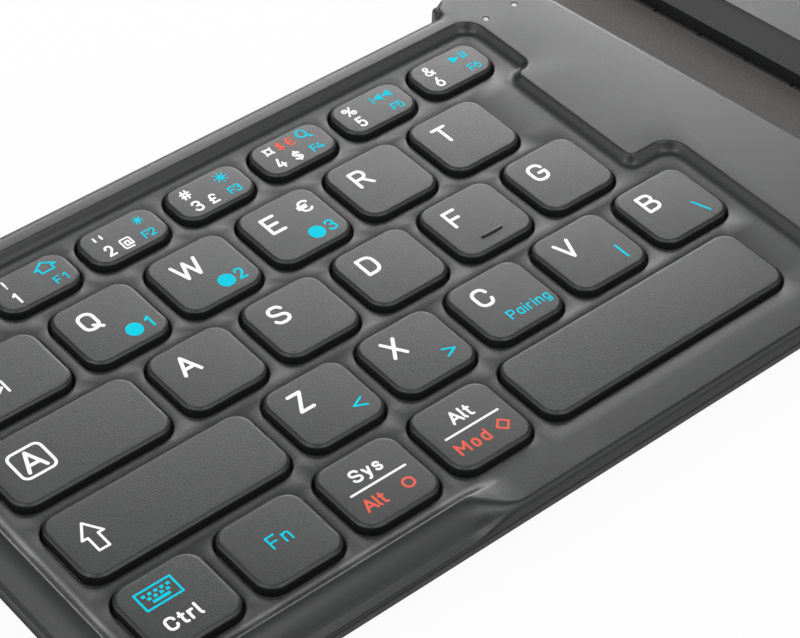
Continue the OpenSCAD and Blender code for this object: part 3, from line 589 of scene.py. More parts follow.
def top_case(side, tray_corners, keys):
    """Height over the leaf's plan: the tray's floor plus the wall's rise, less the fall to the outer edge.

    The wall's rise is WALL at the signed distance from the tray's outline. The fall mixes BEVEL, a quarter
    circle and SPINE_FORM by the style of the nearest point of the leaf's outline.
    """
    outline = resample(turn_ccw(leaf_outline()), OUTLINE_STEP)
    outline = outline - normals(outline) * OUTLINE_INSET
    tray = resample(turn_ccw(rounded(tray_corners, 12)), GUIDE_STEP)
    styles = edge_styles(outline, side)
    front, back = -LEAF_FRONT + ROOM_FRONT, LEAF_BACK - ROOM_BACK
    room = resample(turn_ccw(rounded([
        (-LEAF_SIDE + ROOM_SIDE, front, ROOM_CORNER), (ROOM_ENDS[0], front, ROOM_CORNER),
        (ROOM_ENDS[1], back, ROOM_CORNER), (-LEAF_SIDE + ROOM_SIDE, back, ROOM_CORNER)], 4)), GUIDE_STEP)
    guides = ring_set(tray, WALL[:, 0])
    inward = normals(outline)
    guides += [outline - inward * styles[:, :1] * t for t in BEVEL[1:, 0]]
    guides += ring_set(room, (0.0, ROOM_STEP))
    guides += [loop for grow in HOLE_RINGS for loop in hole_loops(keys, HOLE_GAP + grow)]
    port = None
    if side == "left":
        for spot in light_spots():
            guides += [disc(*spot, radius, 16) for radius in LIGHT_RINGS]
        port = [port_outline(grow) for grow in (0, PORT_STEP)]
        guides += port
    flat, triangles = plan(outline, hole_loops(keys, HOLE_GAP), guides)

    d_tray, _ = distance(flat, tray)
    d_tray = np.where(inside(flat, tray), -d_tray, d_tray)
    ridge = 1 - smooth(flat[:, 0], *RIDGE_OUT) * (flat[:, 1] < RIDGE_BACK) * (flat[:, 0] < RIDGE_FAR)
    rise = np.interp(d_tray, WALL[:, 0], WALL[:, 1]) * ridge
    surface = TRAY + (PLATEAU - TRAY) * rise

    d_edge, place = distance(flat, outline)
    first = np.floor(place).astype(int) % len(outline)
    share = (place - np.floor(place))[:, None]
    style = styles[first] * (1 - share) + styles[(first + 1) % len(outline)] * share
    t = np.clip(d_edge / style[:, 0], 0, 1)
    bevel = np.interp(t, BEVEL[:, 0], BEVEL[:, 1])
    dome = np.sqrt(1 - (1 - t) ** 2)
    along_spine = np.interp(t, SPINE_FORM[side][:, 0], SPINE_FORM[side][:, 1])
    share_down = bevel * (1 - style[:, 3] - style[:, 4]) + dome * style[:, 3] + along_spine * style[:, 4]
    edge_z = style[:, 1] + (surface - ROUND_DROP) * style[:, 2]
    top = edge_z + (surface - edge_z) * share_down

    d_hole = np.min([box_distance(flat, k, HOLE_GAP) for k in keys], 0)
    top -= HOLE_DROP * (1 - np.clip(d_hole / HOLE_EDGE, 0, 1)) ** 2
    bottom = np.where(inside(flat, room), TRAY_UNDER, PARTING + SEAM)
    if side == "left":
        for spot in light_spots():
            gap = np.hypot(*(flat - spot).T)
            top -= LIGHT_DEPTH * (1 - smooth(gap, *LIGHT_WELL))
        bottom = np.where(inside(flat, port[0]), PORT_TOP, bottom)
    bottom = np.minimum(bottom, top - LEAST_WALL)
    points, faces = shell(flat, triangles, top, bottom)
    points = to_object(points, side == "right")
    solid(f"{side}_case_shell", points, faces, CASE, f"{side}_leaf", [f"{side}_top_case"])


top_case("left", LEFT_TRAY, LEFT_KEYS)
top_case("right", RIGHT_TRAY, RIGHT_KEYS)

for key in LEFT_KEYS:
    points, faces = cap(key)
    solid(f"{key[0]}_cap", to_object(points), faces, CAP, key[0], [key[0]])
for node in sorted({k[0] for k in RIGHT_KEYS}):
    points, faces = joined([cap(k) for k in RIGHT_KEYS if k[0] == node])
    solid(f"{node}_caps", to_object(points, True), faces, CAP, node, [node])

# The homing bar: its place from the middle of its cap, and how far it is sunk into the top
BAR_U, BAR_V, BAR_SINK = -0.08, -3.95, 0.04
_, f_u, f_v, _, _ = next(k for k in LEFT_KEYS if k[0] == "key_f")
points, faces = capsule_mound(f_u + BAR_U, f_v + BAR_V, half=1.85, radius=0.3, height=0.32,
                              base=CAP_TOP - BAR_SINK)
solid("key_f_homing_bar", to_object(points), faces, CAP, "key_f")


# ------------------------------------------------------------------ key legends
# Glyphs drawn as strokes on a grid one unit high: M starts a stroke, L is a line, C a cubic curve
ROUND = "C.12 1 0 .86 0 .66 L0 .34 C0 .14 .12 0 .35 0"
OVAL = "M.35 1 " + ROUND + " M.35 0 C.58 0 .7 .14 .7 .34 L.7 .66 C.7 .86 .58 1 .35 1"
BOWL = " M.48 .5 C.44 .66 .34 .7 .24 .7 C.08 .7 0 .58 0 .35 C0 .12 .08 0 .24 0 C.34 0 .44 .06 .48 .2"
GLYPHS = {
    "A": "M0 0 L.41 1 L.82 0 M.14 .32 L.68 .32",
    "B": "M0 0 L0 1 L.36 1 C.68 1 .68 .53 .36 .53 L0 .53 M.36 .53 C.76 .53 .76 0 .36 0 L0 0",
    "C": "M.69 .72 C.66 .9 .55 1 .35 1 " + ROUND + " C.55 0 .66 .1 .69 .28",
    "D": "M0 0 L0 1 L.32 1 C.58 1 .7 .84 .7 .6 L.7 .4 C.7 .16 .58 0 .32 0 L0 0",
    "E": "M.62 1 L0 1 L0 0 L.62 0 M0 .51 L.54 .51",
    "F": "M.62 1 L0 1 L0 0 M0 .49 L.52 .49",
    "G": "M.68 .74 C.64 .91 .54 1 .35 1 " + ROUND + " C.56 0 .7 .12 .7 .34 L.7 .46 L.38 .46",
    "H": "M0 0 L0 1 M.68 0 L.68 1 M0 .51 L.68 .51",
    "I": "M0 0 L0 1",
    "J": "M.5 1 L.5 .28 C.5 .1 .4 0 .24 0 C.12 0 .04 .05 0 .12",
    "K": "M0 0 L0 1 M.64 1 L0 .38 M.2 .57 L.66 0",
    "L": "M0 1 L0 0 L.58 0",
    "M": "M0 0 L0 1 L.42 .38 L.84 1 L.84 0",
    "N": "M0 0 L0 1 L.68 0 L.68 1",
    "O": OVAL,
    "P": "M0 0 L0 1 L.36 1 C.74 1 .74 .46 .36 .46 L0 .46",
    "Q": OVAL + " M.42 .22 L.74 -.06",
    "R": "M0 0 L0 1 L.36 1 C.72 1 .72 .47 .36 .47 L0 .47 M.36 .47 L.7 0",
    "S": "M.66 .8 C.6 .94 .5 1 .34 1 C.14 1 .03 .9 .03 .74 C.03 .58 .14 .54 .34 .5 C.56 .46 .68 .41 .68 .25"
         " C.68 .08 .54 0 .34 0 C.16 0 .06 .07 0 .2",
    "T": "M0 1 L.74 1 M.37 1 L.37 0",
    "U": "M0 1 L0 .32 C0 .12 .12 0 .34 0 C.56 0 .68 .12 .68 .32 L.68 1",
    "V": "M0 1 L.37 0 L.74 1",
    "W": "M0 1 L.29 0 L.61 .96 L.93 0 L1.22 1",
    "X": "M0 1 L.66 0 M.66 1 L0 0",
    "Y": "M0 1 L.36 .45 L.72 1 M.36 .45 L.36 0",
    "Z": "M.02 1 L.66 1 L0 0 L.68 0",
    "1": "M0 .78 L.3 1 L.3 0",
    "2": "M.03 .74 C.06 .92 .18 1 .33 1 C.52 1 .63 .9 .63 .73 C.63 .58 .54 .5 .4 .37 L0 0 L.66 0",
    "3": "M.02 .82 C.08 .95 .2 1 .33 1 C.52 1 .62 .9 .62 .75 C.62 .6 .52 .53 .3 .53 M.3 .53 C.54 .53 .66 .44"
         " .66 .27 C.66 .1 .52 0 .33 0 C.17 0 .06 .07 0 .2",
    "4": "M.5 0 L.5 .5 M.36 1 L0 .26 L.68 .26",
    "5": "M.6 1 L.07 1 L.04 .5 C.12 .6 .22 .63 .33 .63 C.54 .63 .65 .5 .65 .32 C.65 .12 .52 0 .32 0"
         " C.16 0 .05 .07 0 .18",
    "6": "M.46 1 L.07 .45 M.33 .62 C.12 .62 0 .5 0 .31 C0 .12 .12 0 .33 0 M.33 0 C.54 0 .66 .12 .66 .31"
         " C.66 .5 .54 .62 .33 .62",
    "7": "M0 1 L.64 1 L.22 0",
    "8": "M.33 .54 C.13 .54 .06 .64 .06 .77 C.06 .9 .15 1 .33 1 M.33 1 C.51 1 .6 .9 .6 .77 C.6 .64 .53 .54"
         " .33 .54 M.33 .54 C.12 .54 0 .43 0 .27 C0 .1 .12 0 .33 0 M.33 0 C.54 0 .66 .1 .66 .27 C.66 .43"
         " .54 .54 .33 .54",
    "9": "M.2 0 L.59 .55 M.33 .38 C.54 .38 .66 .5 .66 .69 C.66 .88 .54 1 .33 1 M.33 1 C.12 1 0 .88 0 .69"
         " C0 .5 .12 .38 .33 .38",
    "0": "M.33 1 C.1 1 0 .84 0 .62 L0 .38 C0 .16 .1 0 .33 0 M.33 0 C.56 0 .66 .16 .66 .38 L.66 .62"
         " C.66 .84 .56 1 .33 1",
    "a": "M.48 .7 L.48 0" + BOWL,
    "c": "M.44 .56 C.4 .66 .34 .7 .24 .7 C.08 .7 0 .58 0 .35 C0 .12 .08 0 .24 0 C.34 0 .4 .04 .44 .14",
    "d": "M.48 1 L.48 0" + BOWL,
    "g": "M.48 .7 L.48 -.06 C.48 -.2 .4 -.28 .24 -.28 C.14 -.28 .08 -.26 .02 -.22" + BOWL,
    "i": "M0 0 L0 .7 M0 .99 L0 1",
    "l": "M0 1 L0 .12 L.1 0",
    "n": "M0 0 L0 .7 M0 .44 C.06 .62 .14 .7 .27 .7 C.42 .7 .48 .6 .48 .44 L.48 0",
    "o": "M.24 .7 C.08 .7 0 .58 0 .35 C0 .12 .08 0 .24 0 M.24 0 C.4 0 .48 .12 .48 .35 C.48 .58 .4 .7 .24 .7",
    "r": "M0 0 L0 .7 M0 .46 C.05 .64 .16 .72 .32 .7",
    "s": "M.42 .56 C.38 .66 .3 .7 .22 .7 C.1 .7 .02 .64 .02 .53 C.02 .42 .1 .38 .22 .36 C.36 .33 .44 .29"
         " .44 .18 C.44 .06 .34 0 .22 0 C.12 0 .04 .04 0 .13",
    "t": "M.14 .95 L.14 .18 C.14 .04 .2 0 .34 0 M0 .7 L.34 .7",
    "y": "M0 .7 L.24 .02 M.48 .7 L.24 .02 C.18 -.2 .1 -.28 0 -.26",
    "!": "M0 1 L0 .34 M0 .01 L0 0",
    "\"": "M0 1 L0 .0 M.9 1 L.9 .0",
    "#": "M.24 1 L.14 0 M.56 1 L.46 0 M.03 .68 L.72 .68 M0 .32 L.68 .32",
    "¤": "M.1 .1 L.1 .9 L.72 .9 L.72 .1 L.1 .1 M.1 .9 L0 1 M.72 .9 L.82 1 M.1 .1 L0 0 M.72 .1 L.82 0",
    "%": "M.68 1 L.16 0 M.16 .96 C.02 .96 0 .86 0 .78 C0 .7 .02 .6 .16 .6 M.16 .6 C.3 .6 .32 .7 .32 .78"
         " C.32 .86 .3 .96 .16 .96 M.68 .4 C.54 .4 .52 .3 .52 .22 C.52 .14 .54 .04 .68 .04 M.68 .04 C.82"
         " .04 .84 .14 .84 .22 C.84 .3 .82 .4 .68 .4",
    "&": "M.7 0 L.2 .66 C.1 .8 .14 1 .32 1 M.32 1 C.5 1 .54 .8 .42 .69 L.14 .48 C-.06 .3 .02 0 .28 0 C.5 0"
         " .64 .14 .7 .42",
    "@": "M.56 .68 L.56 .27 L.8 .27 L.8 .78 C.8 .94 .74 1 .6 1 L.2 1 C.06 1 0 .94 0 .78 L0 .22 C0 .06 .06"
         " 0 .2 0 L.66 0 M.56 .68 L.26 .68 L.26 .27 L.56 .27",
    "£": "M.62 .82 C.58 .94 .48 1 .38 1 C.22 1 .14 .88 .14 .7 L.14 .2 C.14 .1 .1 .04 0 0 L.62 0 M0 .46"
         " L.46 .46",
    "$": "M.6 .72 C.56 .82 .48 .86 .32 .86 C.14 .86 .04 .79 .04 .68 C.04 .56 .14 .53 .32 .5 C.52 .46 .62"
         " .42 .62 .3 C.62 .18 .5 .13 .32 .13 C.16 .13 .06 .18 0 .28 M.32 1 L.32 0",
    "€": "M.68 .84 C.62 .94 .54 1 .43 1 C.2 1 .12 .8 .12 .5 C.12 .2 .2 0 .43 0 C.54 0 .62 .06 .68 .16"
         " M0 .6 L.5 .6 M0 .4 L.46 .4",
    "<": "M.9 1 L0 .5 L.9 0",
    ">": "M0 1 L.9 .5 L0 0",
    "|": "M0 1 L0 0",
    "\\": "M0 1 L.35 0",
    "/": "M.45 1 L0 0",
    "(": "M.22 1 C-.06 .7 -.06 .3 .22 0",
    ")": "M0 1 C.28 .7 .28 .3 0 0",
    "=": "M0 .64 L.6 .64 M0 .3 L.6 .3",
    "?": "M0 .8 C.04 .94 .16 1 .28 1 C.46 1 .56 .9 .56 .76 C.56 .6 .28 .56 .28 .32 M.28 .01 L.28 0",
    "+": "M0 .5 L.7 .5 M.35 .85 L.35 .15",
    "-": "M0 .45 L.5 .45",
    ",": "M.08 .08 L0 -.14",
    ".": "M0 .03 L0 .02",
    "^": "M0 .7 L.22 1 L.44 .7",
    "´": "M.2 1 L0 .78",
    "¨": "M0 1 L0 .99 M.3 1 L.3 .99",
    "Ä": "M0 0 L.41 .8 L.82 0 M.16 .28 L.66 .28 M.22 1.06 L.22 1.05 M.6 1.06 L.6 1.05",
    "Ö": "M.35 .8 C.12 .8 0 .7 0 .52 L0 .28 C0 .1 .12 0 .35 0 M.35 0 C.58 0 .7 .1 .7 .28 L.7 .52 C.7 .7"
         " .58 .8 .35 .8 M.18 1.06 L.18 1.05 M.52 1.06 L.52 1.05",
    "Å": "M0 0 L.41 .76 L.82 0 M.16 .26 L.66 .26 M.41 .84 C.3 .84 .29 1.06 .41 1.06 M.41 1.06 C.53 1.06"
         " .52 .84 .41 .84",
    "_": "M0 0 L1 0",
    "house": "M.3 .42 L0 .42 L.78 1 L1.56 .42 L1.26 .42 L1.26 0 L.3 0 L.3 .42",
    "lens": "M.4 1 C.17 1 0 .84 0 .63 C0 .42 .17 .26 .4 .26 M.4 .26 C.63 .26 .8 .42 .8 .63 C.8 .84 .63 1 .4 1"
            " M.68 .34 L1.05 0",
    "up": "M.5 1 L0 .5 L.26 .5 L.26 0 L.74 0 L.74 .5 L1 .5 L.5 1",
    "enter": "M1 1 L1 .3 L0 .3 M.3 .6 L0 .3 L.3 0",
    "back": "M1.1 .5 L0 .5 M.4 .9 L0 .5 L.4 .1",
    "left": "M.55 1 L0 .5 L.55 0",
    "right": "M0 1 L.55 .5 L0 0",
    "upward": "M0 0 L.5 .55 L1 0",
    "downward": "M0 .55 L.5 0 L1 .55",
    "tab": "M0 1 L0 .54 M.1 .77 L.8 .77 M.25 .9 L.1 .77 L.25 .64 M.8 .46 L.8 0 M0 .23 L.7 .23 M.55 .36 L.7"
           " .23 L.55 .1",
    "box": "M.2 0 L.8 0 C.92 0 1 .08 1 .2 L1 .8 C1 .92 .92 1 .8 1 M.8 1 L.2 1 C.08 1 0 .92 0 .8 L0 .2 C0 .08"
           " .08 0 .2 0",
    "ring": "M.5 1 C-.16 1 -.16 0 .5 0 M.5 0 C1.16 0 1.16 1 .5 1",
    "diamond": "M.5 1 L0 .5 L.5 0 L1 .5 L.5 1",
}

CURVE_PARTS = 7
SHARP_BEND = radians(28)
FILM_RISE, FILM_SINK = 0.02, 0.03


def strokes_of(glyph):
    """Centre lines of a glyph; each curve runs a(1-t)^3 + 3b(1-t)^2 t + 3c(1-t) t^2 + d t^3."""
    strokes, line = [], None
    t = np.linspace(0, 1, CURVE_PARTS + 1)[1:, None]
    for token in GLYPHS[glyph].replace("M", "|M").replace("L", "|L").replace("C", "|C").split("|")[1:]:
        values = np.array([float(n) for n in token[1:].split()]).reshape(-1, 2)
        if token[0] == "M":
            line = [values]
            strokes.append(line)
        elif token[0] == "L":
            line.append(values)
        else:
            a, (b, c, d) = line[-1][-1], values
            line.append(a * (1 - t) ** 3 + 3 * b * (1 - t) ** 2 * t + 3 * c * (1 - t) * t ** 2 + d * t ** 3)
    return [np.vstack(line) for line in strokes]


def ribbons(line, width):
    """Strips of one width with round ends along a line, a new strip past each sharp bend."""
    step = np.diff(line, axis=0)
    angle = np.arctan2(step[:, 1], step[:, 0])
    bend = np.abs((np.diff(angle) + pi) % tau - pi)
    cuts = [0] + [i + 1 for i in np.flatnonzero(bend > SHARP_BEND)] + [len(line) - 1]
    out = []
    for a, b in zip(cuts[:-1], cuts[1:]):
        part = line[a:b + 1]
        d = np.diff(part, axis=0)
        d = d / np.hypot(*d.T)[:, None]
        mean = np.vstack([d[:1], d[:-1] + d[1:], d[-1:]])
        mean = mean / np.hypot(*mean.T)[:, None]
        n = np.column_stack([-mean[:, 1], mean[:, 0]]) * width / 2
        turn = np.linspace(0, pi, 7)[1:-1, None]
        end = part[-1] + n[-1] * np.cos(turn) + d[-1] * width / 2 * np.sin(turn)
        start = part[0] - n[0] * np.cos(turn) - d[0] * width / 2 * np.sin(turn)
        out.append(np.vstack([part + n, end, (part - n)[::-1], start])[::-1])
    return out


def inked(shapes, origin):
    """Thin closed film over the union of flat shapes, just proud of the cap."""
    shapes = [turn_ccw(s) for s in shapes]
    points = np.vstack(shapes)
    starts = np.cumsum([0] + [len(s) for s in shapes[:-1]])
    loops = [list(range(a, a + len(s))) for a, s in zip(starts.tolist(), shapes)]
    made = delaunay_2d_cdt([Vector(p) for p in points.tolist()], [], loops, 0, 1e-4, True)
    flat = np.array([tuple(v) for v in made[0]])
    triangles = np.array([f for f, source in zip(made[2], made[5]) if source])
    used, back = np.unique(triangles, return_inverse=True)
    flat, triangles = flat[used] + origin, back.reshape(triangles.shape)
    top, bottom = (np.full(len(flat), CAP_TOP + step) for step in (FILM_RISE, -FILM_SINK))
    return shell(flat, triangles, top, bottom)


def word(text, u0, u1, v0, v1, stroke):
    """A word's strips between u0 and u1; a single glyph is stretched to fit, a word is spaced to fit."""
    glyphs = [text] if text in GLYPHS else list(text)
    tall = v1 - v0 - stroke
    lines = [strokes_of(g) for g in glyphs]
    widths = [max(np.vstack(l)[:, 0].max(), 0) for l in lines]
    if len(glyphs) == 1:
        wide = (u1 - u0 - stroke) / widths[0] if widths[0] > 0 else tall
        places = [0.0]
    else:
        wide = tall
        gap = ((u1 - u0 - stroke) - tall * sum(widths)) / (len(glyphs) - 1)
        places = [tall * sum(widths[:i]) + gap * i for i in range(len(glyphs))]
    out = []
    for place, line_set in zip(places, lines):
        for line in line_set:
            out += ribbons(line * (wide, tall) + (u0 + stroke / 2 + place, v0 + stroke / 2), stroke)
    return out


def sun(u, v, radius, core=0.42, ray=0.2, short=0.12):
    """A filled disc with eight rays round it, which end short of the radius."""
    shapes = [disc(u, v, radius * core)]
    for a in np.arange(8) * pi / 4:
        d = np.array([cos(a), sin(a)])
        shapes += ribbons(np.array([d * radius * core, d * (radius - short)]) + (u, v), ray)
    return shapes


def keyboard_sign(u0, u1, v0, v1, edge=0.95, pitch=0.78):
    """A framed keyboard: an outline with two rows of small keys and a bar."""
    def block(u, row, half):
        """A filled key of the sign, in a row counted from the top."""
        return np.array([u, v1 - edge - row * pitch]) + np.array([(-half, -0.27), (half, -0.27), (half, 0.27),
                                                                  (-half, 0.27)])

    c = np.array([(u0, v0), (u1, v0), (u1, v1), (u0, v1), (u0, v0)])
    shapes = ribbons(c, 0.36)
    wide = u1 - u0
    for row, (count, shift) in enumerate(((5, 0.16), (4, 0.24))):
        step = (1 - 2 * shift) / (count - 1)
        shapes += [block(u0 + wide * (shift + step * i), row, 0.3) for i in range(count)]
    return shapes + [block((u0 + u1) / 2, 2, 1.5)]


def arrow_signs(kind):
    """Filled transport signs: back to the start of a track, and play with pause."""
    if kind == "track back":
        bar = np.array([(0.8, 0.65), (1.12, 0.65), (1.12, 2.45), (0.8, 2.45)])
        one = np.array([(1.25, 1.55), (3.05, 0.6), (3.05, 2.5)])
        return [bar, one, one + (1.85, 0)]
    play = np.array([(1.3, 0.6), (3.2, 1.55), (1.3, 2.5)])
    bar = np.array([(3.5, 0.65), (3.9, 0.65), (3.9, 2.45), (3.5, 2.45)])
    return [play, bar, bar + (0.75, 0)]


# Short names of the inks, for the tables below; places are millimetres from the cap's middle
W, C, R = INK_WHITE, INK_CYAN, INK_CORAL
LETTER, LETTER_HEIGHT = 0.62, 4.2
# Number keys: stroke widths of the digit, the sign and the function name; the digit's and the name's range
# of v, and the name's width
DIGIT, SIGN, TAG = 0.42, 0.38, 0.3
DIGIT_V, TAG_V, TAG_WIDTH = (-2.85, -0.25), (-2.8, -1.0), 2.4
# Letters by the height of their foot: the key, and the letter's range of u
LETTERS = {
    -0.1: (("q", -4.1, -0.8), ("w", -3.95, 1.0), ("e", -4.15, -1.2), ("r", -4.05, -0.9), ("t", -4.1, -1.0)),
    0.05: (("a", -3.9, -0.4), ("s", -4.15, -1.0), ("d", -4.05, -0.9), ("f", -4.1, -1.3), ("g", -4.2, -1.0)),
    0.3: (("z", -4.0, -1.1), ("x", -3.9, -0.9), ("c", -4.0, -0.9), ("v", -4.15, -0.85), ("b", -4.1, -0.95)),
}
# Number keys: shifted sign, u range of the digit, box of the sign, u of the function name
NUMBERS = (
    ("1", "!", (-4.5, -3.6), (-4.15, -3.75, 1.1, 3.0), 2.8),
    ("2", "\"", (-4.4, -2.85), (-4.4, -2.8, 1.3, 2.5), 2.55),
    ("3", "#", (-4.4, -2.7), (-4.6, -2.6, 0.6, 2.9), 2.5),
    ("4", "¤", (-4.6, -2.9), (-4.55, -2.75, 1.0, 2.8), 2.4),
    ("5", "%", (-4.55, -3.0), (-5.0, -2.7, 0.5, 2.8), 2.6),
    ("6", "&", (-4.6, -3.0), (-4.6, -2.7, 0.4, 2.9), 2.6),
)
# Round marks: the key, its digit, u of the disc's middle, and the digit's range of u
MARKS = (("q", "1", 2.1, 4.4, 5.35), ("w", "2", 1.75, 3.55, 5.2), ("e", "3", 1.85, 3.75, 5.5))
# All other signs: the key, the ink, the sign or word, its box as u0, u1, v0, v1, and the stroke's width
SIGNS = (
    ("1", C, "house", 1.3, 5.4, 0.5, 3.15, 0.36), ("2", W, "@", -1.45, 0.7, -3.0, -0.4, 0.34),
    ("3", W, "£", -1.35, 0.3, -2.8, -0.5, 0.4), ("4", W, "$", -1.2, 0.45, -3.1, -0.35, 0.38),
    ("4", R, "$", -2.0, -0.7, 0.7, 3.0, 0.32), ("4", R, "€", -0.1, 1.5, 0.75, 2.95, 0.34),
    ("4", C, "lens", 2.45, 4.95, 0.5, 3.3, 0.38), ("e", W, "€", 2.6, 5.2, 0.95, 3.85, 0.46),
    ("z", C, "<", 2.95, 5.25, -4.35, -2.15, 0.38), ("x", C, ">", 2.95, 5.25, -4.15, -2.1, 0.38),
    ("c", C, "Pairing", -1.95, 6.3, -4.2, -2.15, 0.3), ("v", C, "|", 3.95, 4.35, -4.9, -1.45, 0.42),
    ("b", C, "\\", 2.95, 4.5, -5.15, -1.55, 0.42), ("shift", W, "up", -15.05, -10.95, -2.95, 3.2, 0.42),
    ("control", W, "Ctrl", -4.0, 1.9, -4.05, -1.5, 0.46), ("function", C, "Fn", -1.75, 2.0, -1.1, 1.5, 0.34),
    ("system", W, "Sys", -2.85, 2.6, 1.35, 3.9, 0.44), ("system", W, "_", -5.1, 5.4, -0.27, 0.13, 0.4),
    ("system", R, "Alt", -4.9, -0.9, -4.15, -1.65, 0.42), ("system", R, "ring", 2.3, 4.5, -4.1, -1.9, 0.4),
    ("alt", W, "Alt", -2.0, 2.25, 1.35, 3.95, 0.44), ("alt", W, "_", -5.1, 5.4, -0.27, 0.13, 0.4),
    ("alt", R, "Mod", -5.1, 1.0, -4.1, -1.6, 0.42), ("alt", R, "diamond", 2.5, 5.2, -4.2, -1.5, 0.4),
    ("caps_lock", W, "box", -10.26, -3.99, -2.66, 3.44, 0.5),
    ("caps_lock", W, "A", -8.95, -5.25, -1.75, 2.65, LETTER),
    ("tab", W, "tab", -3.6, 1.55, -2.95, 2.95, 0.42), ("escape", W, "Esc", -8.6, -3.9, -2.75, -0.2, 0.42),
)


def left_legends():
    """Legends of the left leaf: for each key its shapes by ink."""
    legends = {}

    def mark_key(key, ink, shapes):
        """Adds shapes in one ink to a key's legend."""
        legends.setdefault("key_" + key, []).append((ink, shapes))

    for foot, letters in LETTERS.items():
        for key, left, right in letters:
            mark_key(key, W, word(key.upper(), left, right, foot, foot + LETTER_HEIGHT, LETTER))
    for key, sign, digit, box, place in NUMBERS:
        mark_key(key, W, word(key, *digit, *DIGIT_V, DIGIT))
        mark_key(key, W, word(sign, *box, SIGN))
        mark_key(key, C, word("F" + key, place, place + TAG_WIDTH, *TAG_V, TAG))
    for key, digit, middle, left, right in MARKS:
        mark_key(key, C, [disc(middle, -3.65, 1.45)])
        mark_key(key, C, word(digit, left, right, -4.95, -2.3, DIGIT))
    for key, ink, sign, *box in SIGNS:
        mark_key(key, ink, word(sign, *box))
    mark_key("2", C, sun(3.95, 1.6, 1.05))
    mark_key("3", C, sun(3.5, 1.75, 1.4))
    mark_key("5", C, arrow_signs("track back"))
    mark_key("6", C, arrow_signs("play"))
    mark_key("control", C, keyboard_sign(-4.3, 1.85, 1.0, 4.4))
    return [(key, legends.get(key[0], [])) for key in LEFT_KEYS]


def natural(glyph, u0, v0, height, stroke):
    """One glyph at its own width, from its lower left corner."""
    wide = max(np.vstack(strokes_of(glyph))[:, 0].max(), 0.01)
    return word(glyph, u0, u0 + stroke + wide * (height - stroke), v0, v0 + height, stroke)


# The right leaf's legends, each row from the spine outwards
RIGHT_SIGNS = {
    "right_number_row": (*"7890+´", "back"), "right_upper_row": (*"YUIOPÅ", "¨"),
    "right_home_row": (*"HJKLÖÄ", "enter"), "right_lower_row": (*"NM,.-", "up"),
    "right_bottom_row": ("Alt", "left", "downward", "upward", "right"),
}
# The number keys' shifted signs, and how far a legend starts from its cap's near edge
SHIFTED = ("/", "(", ")", "=", "?", "^")
SIGN_INSET = 3.3


def right_legends():
    """Legends of the right leaf, each from the cap's edge that is nearest the spine."""
    pairs = []
    for node, signs in RIGHT_SIGNS.items():
        for i, (key, sign) in enumerate(zip([k for k in RIGHT_KEYS if k[0] == node], signs)):
            start = -key[3] / 2 + SIGN_INSET
            groups = []
            if node == "right_number_row" and sign != "back":
                groups = [(W, natural(sign, start, DIGIT_V[0], 2.6, DIGIT)),
                          (W, natural(SHIFTED[i], start, 0.5, 2.4, SIGN)),
                          (C, word(f"F{i + 7}", 2.6 - 0.8 * (i > 2), 5.0, *TAG_V, TAG))]
            elif sign == "Alt":
                groups = [(W, word(sign, start, start + 4.2, -1.3, 1.3, 0.44))]
            elif sign == "up":
                groups = [(W, word(sign, start, start + 4.1, -2.95, 3.2, 0.42))]
            elif len(sign) > 1:
                groups = [(W, natural(sign, -1.2, -1.2, 2.4, 0.42))]
            else:
                groups = [(W, natural(sign, start, 0.1, LETTER_HEIGHT if sign.isalpha() else 3.2, LETTER))]
            pairs.append((key, groups))
    return pairs


def add_legends(pairs, mirrored=False):
    """One film for each node and ink, from pairs of a key and its shapes by ink."""
    flip = (-1 if mirrored else 1, 1)
    for node in sorted({key[0] for key, _ in pairs}):
        for ink, tag in ((W, "white"), (C, "cyan"), (R, "coral")):
            films = []
            for key, groups in pairs:
                shapes = [s * flip for used, group in groups if used is ink for s in group]
                if key[0] == node and shapes:
                    films.append(inked(shapes, (key[1], key[2])))
            if films:
                points, faces = joined(films)
                solid(f"{node}_ink_{tag}", to_object(points, mirrored), faces, ink, node)


add_legends(left_legends())
add_legends(right_legends(), True)


# ------------------------------------------------------------------ the spine's cover
# The strip's edge over the knuckles: distance from the middle, and rise
LIP = np.array([(7.13, 0.15), (7.05, 0.145), (6.95, 0.11), (6.82, 0.05), (6.68, 0.012), (6.4, 0.0)])
LIP_THICKNESS, STRIP_SEAT = 0.08, 6.6
# The strip's ends: distance from the end, and how far the section is drawn in there
STRIP_ENDS = ((0, 0.5), (0.15, 0.15), (0.5, 0.0))


def spine_cover():
    """Strip over the spine bar: a section with LIP at both edges, carried along y, drawn in at its ends."""
    low, high = (np.array(c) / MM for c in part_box("spine_cover"))
    length, top = high[1] - low[1], high[2]
    upper = np.vstack([LIP * (-1, 1), LIP[::-1]]) + (0, top)
    under = upper - (0, LIP_THICKNESS)
    under[np.abs(under[:, 0]) < STRIP_SEAT, 1] = low[2]
    section = np.vstack([upper, under[::-1]])
    stations = [(low[1] + y, inset) for y, inset in STRIP_ENDS]
    stations += [(high[1] - y, inset) for y, inset in STRIP_ENDS[::-1]]
    points, faces = loft([
        np.column_stack([section[:, 0] * (1 - inset / length), np.full(len(section), y), section[:, 1]])
        for y, inset in stations])
    solid("spine_strip", points, faces, COVER, "spine", ["spine_cover"])


spine_cover()


